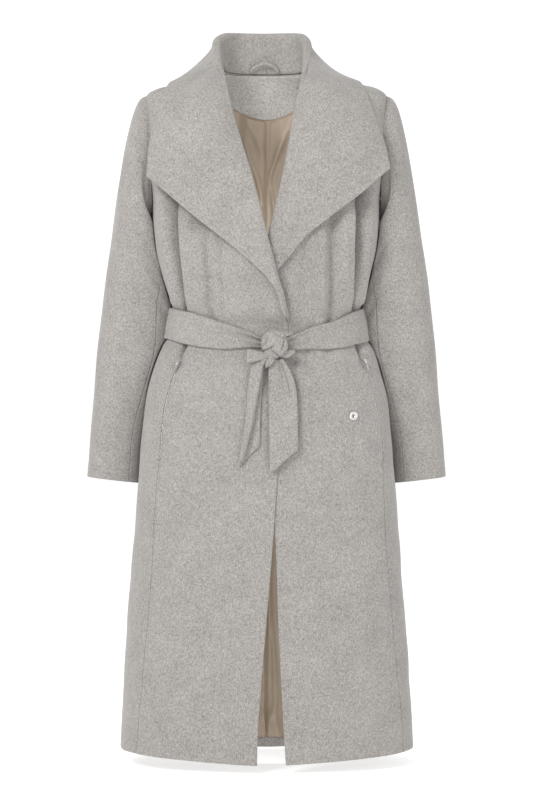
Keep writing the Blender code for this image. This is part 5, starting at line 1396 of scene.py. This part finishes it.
def make_knot():
    """The lump of the knot: a squared ball, narrower below, with grooves between its wraps."""
    tilt = np.linspace(0, math.pi, LUMP_RINGS + 2)[1:-1]
    turn = np.arange(LUMP_SPOKES) * 2 * math.pi / LUMP_SPOKES
    tilt, turn = np.meshgrid(tilt, turn, indexing="ij")
    x = rounded_power(np.cos(tilt), LUMP_POWER)
    y = rounded_power(np.sin(tilt), LUMP_POWER) * rounded_power(np.sin(turn), LUMP_POWER)
    z = rounded_power(np.sin(tilt), LUMP_POWER) * rounded_power(np.cos(turn), LUMP_POWER)
    size = 1 + 0.03 * np.sin(3 * x + 2.0 * z) + 0.02 * np.sin(5 * z - 4 * x + 1.0)
    for at_x, at_z, degrees, reach, width, depth in GROOVES:
        sine, cosine = math.sin(math.radians(degrees)), math.cos(math.radians(degrees))
        away = (z - at_z) * cosine - (x - at_x) * sine
        along = (x - at_x) * cosine + (z - at_z) * sine
        cut = np.exp(-(np.abs((away - 0.25 * along**2) / width) ** 1.3) - (along / reach) ** 4)
        size = size - depth * cut * (y < 0.3)
    narrow = 1 - 0.28 * rise(-z, 0.1, 1.0)
    points = np.stack([x * narrow, y, z], -1) * size[..., None] * LUMP_HALF + LUMP_CENTRE
    ends = np.array([[1.0, 0, 0], [-1.0, 0, 0]]) * LUMP_HALF + LUMP_CENTRE
    closed_ball("belt_knot_wraps", points, ends, wool, ("belt_knot",))


# Short folds of the belt that stand out of the knot: x, y and z of the middle line, half height and
# thickness.
KNOT_FOLDS = {
    "left": (
        (0.0060, -0.1330, -0.4700, 0.0040, 0.0050),
        (-0.0020, -0.1335, -0.4712, 0.0052, 0.0066),
        (-0.0120, -0.1330, -0.4718, 0.0076, 0.0080),
        (-0.0220, -0.1315, -0.4716, 0.0100, 0.0090),
        (-0.0290, -0.1295, -0.4712, 0.0112, 0.0084),
        (-0.0322, -0.1280, -0.4710, 0.0104, 0.0050),
    ),
    "right": (
        (0.0240, -0.1275, -0.4690, 0.0050, 0.0050),
        (0.0310, -0.1280, -0.4688, 0.0064, 0.0062),
        (0.0390, -0.1268, -0.4665, 0.0052, 0.0056),
        (0.0465, -0.1250, -0.4635, 0.0022, 0.0036),
    ),
    "upper": (
        (0.0240, -0.1260, -0.4360, 0.0050, 0.0050),
        (0.0310, -0.1262, -0.4352, 0.0044, 0.0052),
        (0.0380, -0.1250, -0.4345, 0.0030, 0.0044),
        (0.0435, -0.1238, -0.4340, 0.0014, 0.0028),
    ),
    "under": (
        (0.0110, -0.1330, -0.4740, 0.0052, 0.0070),
        (0.0060, -0.1340, -0.4800, 0.0058, 0.0074),
        (0.0020, -0.1335, -0.4855, 0.0042, 0.0062),
        (-0.0012, -0.1325, -0.4905, 0.0014, 0.0030),
    ),
}


FOLD_RINGS, FOLD_SPOKES = 48, 56
FOLD_POWER = 0.7


def make_fold(name, line):
    """A doubled fold of belt: an oval section carried along a line, creased along its front."""
    fine = np.linspace(0, len(line) - 1, FOLD_RINGS)
    knots = np.arange(len(line), dtype=float)
    x, y, z, half, thick = (flow(fine, knots, column) for column in np.array(line).T)
    turn = np.arange(FOLD_SPOKES) * 2 * math.pi / FOLD_SPOKES
    up = rounded_power(np.cos(turn), FOLD_POWER)
    front = rounded_power(np.sin(turn), FOLD_POWER)
    crease = 1 - 0.45 * mound((up - 0.25) / 0.13) * (front > 0)
    on = unit(np.gradient(np.stack([x, 0 * x, z], -1), axis=0))
    across = np.stack([-on[:, 2], on[:, 1], on[:, 0]], -1)
    rings = np.stack([x, y, z], -1)[:, None] + across[:, None] * (half[:, None] * up)[..., None]
    rings[..., 1] -= thick[:, None] / 2 * front * crease
    closed_ball(f"knot_fold_{name}", rings, rings[[0, -1]].mean(1), wool)


# ---------------------------------------------------------------- tails
# Tails of the belt: both edges down each, and how high its middle stands over the coat.
TAIL_COLUMNS = ("z", "left_x", "right_x", "lift")
NARROW_TAIL = columns(
    (
        (-0.4767, -0.0180, 0.0040, 0.0190),
        (-0.4900, -0.0250, -0.0040, 0.0140),
        (-0.5211, -0.0300, -0.0070, 0.0090),
        (-0.5604, -0.0330, -0.0095, 0.0080),
        (-0.5900, -0.0360, -0.0105, 0.0080),
        (-0.6160, -0.0400, -0.0108, 0.0080),
        (-0.6360, -0.0430, -0.0290, 0.0080),
        (-0.6515, -0.0465, -0.0425, 0.0080),
    ),
    TAIL_COLUMNS,
)
BROAD_TAIL = columns(
    (
        (-0.4782, 0.0060, 0.0270, 0.0190),
        (-0.4961, 0.0030, 0.0380, 0.0140),
        (-0.5200, 0.0030, 0.0470, 0.0090),
        (-0.5388, 0.0032, 0.0500, 0.0080),
        (-0.5743, 0.0038, 0.0515, 0.0080),
        (-0.6000, 0.0042, 0.0518, 0.0080),
        (-0.6225, 0.0045, 0.0520, 0.0080),
        (-0.6420, 0.0047, 0.0320, 0.0080),
        (-0.6615, 0.0055, 0.0112, 0.0080),
    ),
    TAIL_COLUMNS,
)


def make_tail(node, table, ridge):
    """A tail of the belt: straight down, with its front face at the lift and a ridge's height."""
    z = finer(np.array(sorted(table["z"], reverse=True)), TAIL_ROW_STEP)
    left, right, lift = (flow(z, table["z"], table[name])[:, None] for name in TAIL_COLUMNS[1:])
    share = shares(*ACROSS["tail"])
    x = mix(left, right, share)
    rows = line_grid(z, share)
    angle, level = front_level(np.minimum(x, 0.03), rows)
    middle = body(RIGHT, angle, level)
    middle[..., 0] = x
    middle[..., 1] -= lift - DOUBLE / 2 + ridge(x, rows, left, right)
    out = grid_normal(middle)
    out = out * np.sign(-out[..., 1:2])
    drop = edge_drop(middle, PANEL_EDGES, DOUBLE, TAIL_EDGE_RADIUS)
    faces = two_faces(lambda height: middle + out * height[..., None], DOUBLE / 2, DOUBLE, drop)
    sheet_piece(node, *faces, on="belt_knot_wraps")


NARROW_RIDGE, NARROW_SUNK = 0.0125, 0.0030  # the ridge's height, and how deep the rest lies
BROAD_CROWN, BROAD_ROLL, BROAD_PLEAT = 0.0016, 0.0046, 0.0034


def narrow_ridge(x, z, left, right):
    """Twisted: a bright strip down the left, then a fold, and the rest turned away."""
    down = rise(-z, 0.478, 0.66)
    fold = mix(right - 0.004, left + 0.0035, down**0.8)
    climb = np.clip((x - left) / np.maximum(fold - left, 0.002), 0, 1)
    behind = 1 - rise(x, fold, fold + 0.0022)
    return NARROW_RIDGE * climb * behind * (1 - 0.7 * rise(-z, 0.62, 0.652)) - NARROW_SUNK


def broad_ridge(x, z, left, right):
    """Nearly flat, with a soft roll at the right edge and a pleat at the top."""
    share = (x - left) / np.maximum(right - left, 1e-4)
    strip = BROAD_ROLL * mound((share - 0.90) / 0.13) - BROAD_PLEAT * mound((share - 0.62) / 0.15)
    return np.sin(math.pi * share) * BROAD_CROWN + strip * (1 - rise(-z, 0.500, 0.580))


# ---------------------------------------------------------------- inside
def inner_patch(node, level, share, lift, thick, look, folds=0.0, edges=PANEL_EDGES, kind="cloth"):
    """A piece inside the back, on the back's surface, with soft upright folds of its own."""
    angle = mix(math.pi, back_outer_angle(level), share)
    height = lift - (lining_fullness(arc_behind(angle, level), level, folds) if folds else 0)
    drop = edge_drop(torso(angle, level), edges, thick, max(thick, 0.0012))
    outer, inner = two_faces(lambda lift: lifted(angle, level, lift), height, thick, drop)
    on = "neck_facing" if folds else "back"
    sheet_piece(node, outer, inner, look, kind, on=on)
    return outer, inner


def facing_curve(share):
    """The facing's lower edge: deepest at the middle of the back, and curving up to the sides."""
    return FACING_BOTTOM + FACING_CLIMB * np.clip(share / FACING_CURVE, -1.35, 1.35) ** 2


def cord_piece(name, path, radius, look, replaces, sides=14):
    """A round cord along a path: rings square to it, the last ones drawn in to a rounded end."""
    along = unit(np.gradient(path, axis=0))
    one = unit(np.cross(along, [0.0, 1.0, 0.0]))
    two = np.cross(one, along)
    turn = np.arange(sides)[:, None] * 2 * math.pi / sides
    size = np.full((len(path), 1, 1), radius)
    size[[0, -1]] = radius * 0.75
    rings = path[:, None] + (one[:, None] * np.cos(turn) + two[:, None] * np.sin(turn)) * size
    ends = path[[0, -1]] + along[[0, -1]] * [[-radius * 0.3], [radius * 0.3]]
    closed_ball(name, rings, ends, look, replaces)


def make_inside():
    """The neck facing with its piping, both halves of the lining, and the turning of the hem."""
    share = shares(*ACROSS["inside"]) * 2 * INSIDE_SHARE - INSIDE_SHARE
    top = finer((NECK_LEVEL - SEAM, FACING_MIDDLE_LEVEL), 0.003)
    lower = mix(top[-1], facing_curve(share), shares(12, 0.03, near_start=False)[1:, None])
    level = np.concatenate([line_grid(top, share), lower])
    # The facing takes the lighter wool, which paints light on the inside of the neck.
    outer, inner = inner_patch("neck_facing", level, share, FACING_LIFT, FACING, facing_wool_painted_light)
    path = (outer[-1] + inner[-1]) / 2 - [0, 0, 0.0016]
    cord_piece("neck_piping_cord", path, PIPING_RADIUS, piping_satin, ("neck_piping",))
    soft = PANEL_EDGES + ("top",)
    for side in (RIGHT, LEFT):
        half = side * shares(*ACROSS["lining"]) ** 1.4 * INSIDE_SHARE
        rows = finer((LINING_TOP_LEVEL, HEM_TURN_LEVEL), LINING_ROW_STEP)
        upper = mix(facing_curve(half) - 0.0026, rows[0], shares(8, 0.03, near_end=False)[:-1, None])
        level = np.concatenate([upper, line_grid(rows, half)])
        node = f"lining_back_{SIDE_NAMES[side]}"
        inner_patch(node, level, half, LINING_LIFT, LINING, satin, LINING_FOLDS, soft, "satin")
    level = line_grid(mix(HEM_TURN_LEVEL - 0.0006, HEM_LEVEL, shares(8, 0.018)), share)
    inner_patch("hem_facing", level, share, -CLOTH - SEAM, FACING, wool, edges=soft)


def make_hanger_loop():
    """A round loop whose ends are sewn on at the foot of the collar's stand."""
    t = np.linspace(0, 1, 70)
    x = mix(*LOOP_ENDS, t)
    up = np.sin(math.pi * np.clip(t, 0.0001, 0.9999)) ** 0.6
    y = section_y(x, NECK_LEVEL, behind=True) - DOUBLE - LOOP_RADIUS - 3 * SEAM - LOOP_LEAN * up
    path = np.stack([x, y, LOOP_FOOT + LOOP_RISE * up], -1)
    cord_piece("hanger_loop_cord", path, LOOP_RADIUS, wool, ("hanger_loop",))


# ---------------------------------------------------------------- zips and stitches
STITCH_LENGTH = 0.0026
STITCH_STEP = 0.0034
STITCH_END = 0.006  # how far from the zip's ends the topstitching turns
STITCH_RADIUS = 0.00038
TACK_LENGTH = 0.0042
TACK_RADIUS = 0.00042
TOOTH_STEP = 0.0013
TOOTH_DEPTH = 0.0019
TOOTH_SIZE = (0.0009, 0.0014, 0.0010)
TOOTH_OFF = 0.00045
TAPE_DEPTH = 0.0033
TAPE_HALF_WIDTH = 0.0075
TAPE_THICK = 0.0007


def seam_line(side, level, off):
    """Places on the cloth at a distance beside the pocket seam, and the way out of the cloth there."""
    angle = side * pocket_seam_angle(side, level)
    angle = angle + side * off / radius_at(angle, level)
    return body(side, angle, level, relief(side, angle, level)), torso_normal(angle, level)


def seam_frames(side, level, off):
    """Places beside the pocket seam, with the way on, the way across and the way out at each."""
    place, out = seam_line(side, level, off)
    on = unit(np.gradient(place, axis=0))
    out = unit(out - on * (out * on).sum(-1, keepdims=True))
    return place, on, np.cross(out, on), out


def copies(name, form, faces, rows, look, replaces=()):
    """A small form repeated at every place of some rows of frames, as one mesh."""
    place, on, across, out = (np.concatenate(part) for part in zip(*rows))
    placed = place[:, None] + form @ np.stack([on, across, out], 1)
    first = np.arange(len(place)) * len(form)
    add_piece(name, placed.reshape(-1, 3), (faces + first[:, None, None]).reshape(-1, 4), look, replaces)


def stitch_form(length, radius):
    """A stitch: a cord that sinks at both ends, six-sided."""
    at = np.linspace(-0.5, 0.5, 6)[:, None]
    size = radius * np.sqrt(np.clip(1.05 - (2 * at) ** 2, 0.05, 1))
    turn = np.arange(6) * math.pi / 3
    z = size * np.sin(turn) - radius * 0.4 * (2 * at) ** 2
    form = np.stack([at * length + 0 * turn, size * np.cos(turn), z], -1).reshape(-1, 3)
    caps = [[3, 2, 1, 0], [5, 4, 3, 0], [31, 32, 33, 30], [33, 34, 35, 30]]
    return form, np.concatenate([quads(numbered(6, 6, True)), caps])


def block_form(length, width, height):
    """A zip tooth: a block with its upper edges drawn in."""
    low = np.array([[-1, -1, 0], [1, -1, 0], [1, 1, 0], [-1, 1, 0]], float)
    high = low * [0.7, 0.7, 1] + [0, 0, 1]
    form = np.concatenate([low, high]) * [length / 2, width / 2, height]
    sides = [[0, 1, 5, 4], [1, 2, 6, 5], [2, 3, 7, 6], [3, 0, 4, 7], [3, 2, 1, 0], [4, 5, 6, 7]]
    return form, np.array(sides)


def make_stitches(side):
    """Two rows of topstitching beside the pocket, turned at its ends, and a close bar tack below."""
    top, bottom = ZIP_TOP_LEVEL + STITCH_END, ZIP_BOTTOM_LEVEL - STITCH_END
    rows = [seam_frames(side, np.arange(top, bottom, -STITCH_STEP), off) for off in (-STITCH_OFF, STITCH_OFF)]
    offs = np.arange(-0.0055, 0.0056, 0.0022)
    rows += [seam_frames(side, np.full(len(offs), level), offs) for level in (top, bottom)]
    form, faces = stitch_form(STITCH_LENGTH, STITCH_RADIUS)
    copies(f"pocket_stitches_{SIDE_NAMES[side]}", form, faces, rows, thread)
    offs = np.linspace(-0.0030, 0.0030, 9)
    place, on, across, out = seam_frames(side, np.full(len(offs), ZIP_BOTTOM_LEVEL + 0.0012), offs)
    form, faces = stitch_form(TACK_LENGTH, TACK_RADIUS)
    copies(f"bar_tack_{SIDE_NAMES[side]}", form, faces, [(place, across, -on, out)], thread)


def make_zip(side):
    """Two rows of teeth that mesh, sunk between the panels, and the tape behind them."""
    name = SIDE_NAMES[side]
    level = np.arange(ZIP_TOP_LEVEL - 0.0012, ZIP_BOTTOM_LEVEL + 0.0012, -TOOTH_STEP)
    rows = []
    for shift, off in ((0, -TOOTH_OFF), (TOOTH_STEP / 2, TOOTH_OFF)):
        place, on, across, out = seam_frames(side, level - shift, off)
        rows.append((place - out * TOOTH_DEPTH, on, across, out))
    form, faces = block_form(*TOOTH_SIZE)
    copies(f"zip_teeth_{name}", form, faces, rows, silver, (f"pocket_zip_{name}",))
    level = finer((ZIP_TOP_LEVEL + 0.004, ZIP_BOTTOM_LEVEL - 0.004), 0.004)
    lines = [seam_line(side, level, off) for off in np.linspace(-TAPE_HALF_WIDTH, TAPE_HALF_WIDTH, 9)]
    place, out = (np.stack(part, 1) for part in zip(*lines))
    shell(f"zip_tape_{name}", place - out * TAPE_DEPTH, place - out * (TAPE_DEPTH + TAPE_THICK), tape)


def dress_hardware():
    """The slider, the pull and the snap keep their solids and get polished metal."""
    for name in ("zip_slider_right", "zip_slider_left", "zip_pull_right", "zip_pull_left", "snap_ring"):
        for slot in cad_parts[name].material_slots:
            slot.material = silver.material


for wearer_side in (RIGHT, LEFT):
    make_front(wearer_side)
    make_side(wearer_side)
    make_sleeve(wearer_side)
    make_collar(wearer_side)
    make_zip(wearer_side)
    make_stitches(wearer_side)
make_back()
make_inside()
make_hanger_loop()
make_belt()
make_knot()
for fold_name, fold_line in KNOT_FOLDS.items():
    make_fold(fold_name, fold_line)
make_tail("belt_tail_narrow", NARROW_TAIL, narrow_ridge)
make_tail("belt_tail_broad", BROAD_TAIL, broad_ridge)
dress_hardware()


# ---------------------------------------------------------------- studio
CAMERA_PLACE = (0.0, -4.0, -0.544)
CAMERA_LENS = 105.9
CAMERA_SENSOR = 36.0
FLOOR_Z = -1.1565
FLOOR_GLOW = 0.70
STUDIO_REACH = 9.0
BACKDROP_RADIUS = 2.0
PALE = (0.58, 0.58, 0.58, 1.0)
WHITE = (1.0, 1.0, 1.0, 1.0)
WORLD_STRENGTH = 0.29  # what lights the coat; the backdrop behind it is seen white
# The lights: name, place, what they aim at, width, height and power.
LIGHTS = (
    ("key_light", (-2.0, -3.2, 1.9), (0.0, 0.0, -0.5), 1.5, 1.5, 116.0),
    ("fill_light", (2.4, -3.2, 0.4), (0.0, 0.0, -0.6), 2.0, 2.4, 25.0),
    ("top_light", (0.0, -0.6, 2.6), (0.0, 0.0, -0.4), 2.4, 1.6, 20.0),
    ("left_light", (-3.2, -0.6, -0.3), (0.0, 0.0, -0.5), 1.2, 2.6, 9.0),
    ("right_light", (3.2, -0.6, -0.3), (0.0, 0.0, -0.5), 1.2, 2.6, 22.0),
    ("front_light", (0.3, -3.9, 0.2), (0.0, 0.0, -0.4), 0.8, 0.8, 9.0),
    ("back_light", (-2.2, 3.4, 1.6), (0.0, 0.0, -0.5), 2.0, 2.0, 34.0),
    ("neck_light", (0.0, -0.02, -0.045), (0.0, 0.1, -0.045), 0.10, 0.03, 0.060),
    ("lining_light", (0.0, -0.03, -0.23), (0.0, 0.2, -0.24), 0.06, 0.13, 0.17),
    ("slit_light", (0.0, -0.04, -0.91), (0.0, 0.2, -0.91), 0.08, 0.46, 0.24),
)


def make_studio():
    """A pale floor that curves up into a backdrop: flat, then a quarter turn, then upright."""
    turn = np.linspace(0, math.pi / 2, 25)[1:]
    bend_y = STUDIO_REACH - BACKDROP_RADIUS
    flat_y = np.linspace(-STUDIO_REACH, bend_y, 12)
    y = np.concatenate([flat_y, bend_y + BACKDROP_RADIUS * np.sin(turn), np.full(4, STUDIO_REACH)])
    z = np.concatenate([0 * flat_y, BACKDROP_RADIUS * (1 - np.cos(turn)), np.linspace(3.0, STUDIO_REACH, 4)])
    x = np.linspace(-STUDIO_REACH, STUDIO_REACH, 3)
    points = np.stack(np.broadcast_arrays(x, y[:, None], (z + FLOOR_Z)[:, None]), -1).reshape(-1, 3)
    look = bpy.data.materials.new("pale_floor")
    look.use_nodes = True
    shader = look.node_tree.nodes["Principled BSDF"]
    shader.inputs["Base Color"].default_value = PALE
    shader.inputs["Roughness"].default_value = 0.9
    shader.inputs["Emission Color"].default_value = WHITE
    shader.inputs["Emission Strength"].default_value = FLOOR_GLOW
    add_mesh("studio_floor", points, quads(numbered(len(y), len(x)))[:, ::-1], look)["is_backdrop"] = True


def add_light(name, place, aim, width, height, power):
    light = bpy.data.lights.new(name, "AREA")
    light.shape = "RECTANGLE"
    light.size = width
    light.size_y = height
    light.energy = power
    made = bpy.data.objects.new(name, light)
    made.location = place
    way = np.array(aim) - np.array(place)
    flat = math.hypot(way[0], way[1])
    made.rotation_euler = (math.atan2(flat, -way[2]), 0.0, math.atan2(way[1], way[0]) - math.pi / 2)
    made.visible_camera = False
    bpy.context.scene.collection.objects.link(made)


def make_camera():
    camera = bpy.data.cameras.new("camera")
    camera.lens = CAMERA_LENS
    camera.sensor_width = CAMERA_SENSOR
    made = bpy.data.objects.new("camera", camera)
    made.location = CAMERA_PLACE
    made.rotation_euler = (math.pi / 2, 0.0, 0.0)
    bpy.context.scene.collection.objects.link(made)
    bpy.context.scene.camera = made


def make_world():
    """White where the camera sees it, and dimmer as a light."""
    world = bpy.data.worlds.new("studio")
    world.use_nodes = True
    tree = world.node_tree
    background = tree.nodes["Background"]
    background.inputs["Color"].default_value = WHITE
    seen = tree.nodes.new("ShaderNodeLightPath")
    strength = tree.nodes.new("ShaderNodeMix")
    strength.inputs["A"].default_value = WORLD_STRENGTH
    strength.inputs["B"].default_value = 1.0
    tree.links.new(seen.outputs["Is Camera Ray"], strength.inputs["Factor"])
    tree.links.new(strength.outputs["Result"], background.inputs["Strength"])
    bpy.context.scene.world = world
    bpy.context.scene.view_settings.view_transform = "Standard"


make_studio()
make_world()
for light_row in LIGHTS:
    add_light(*light_row)
make_camera()

boxes = {"cad": cad_box, "visual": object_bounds()}
{name: [list(map(float, corner)) for corner in box] for name, box in boxes.items()}
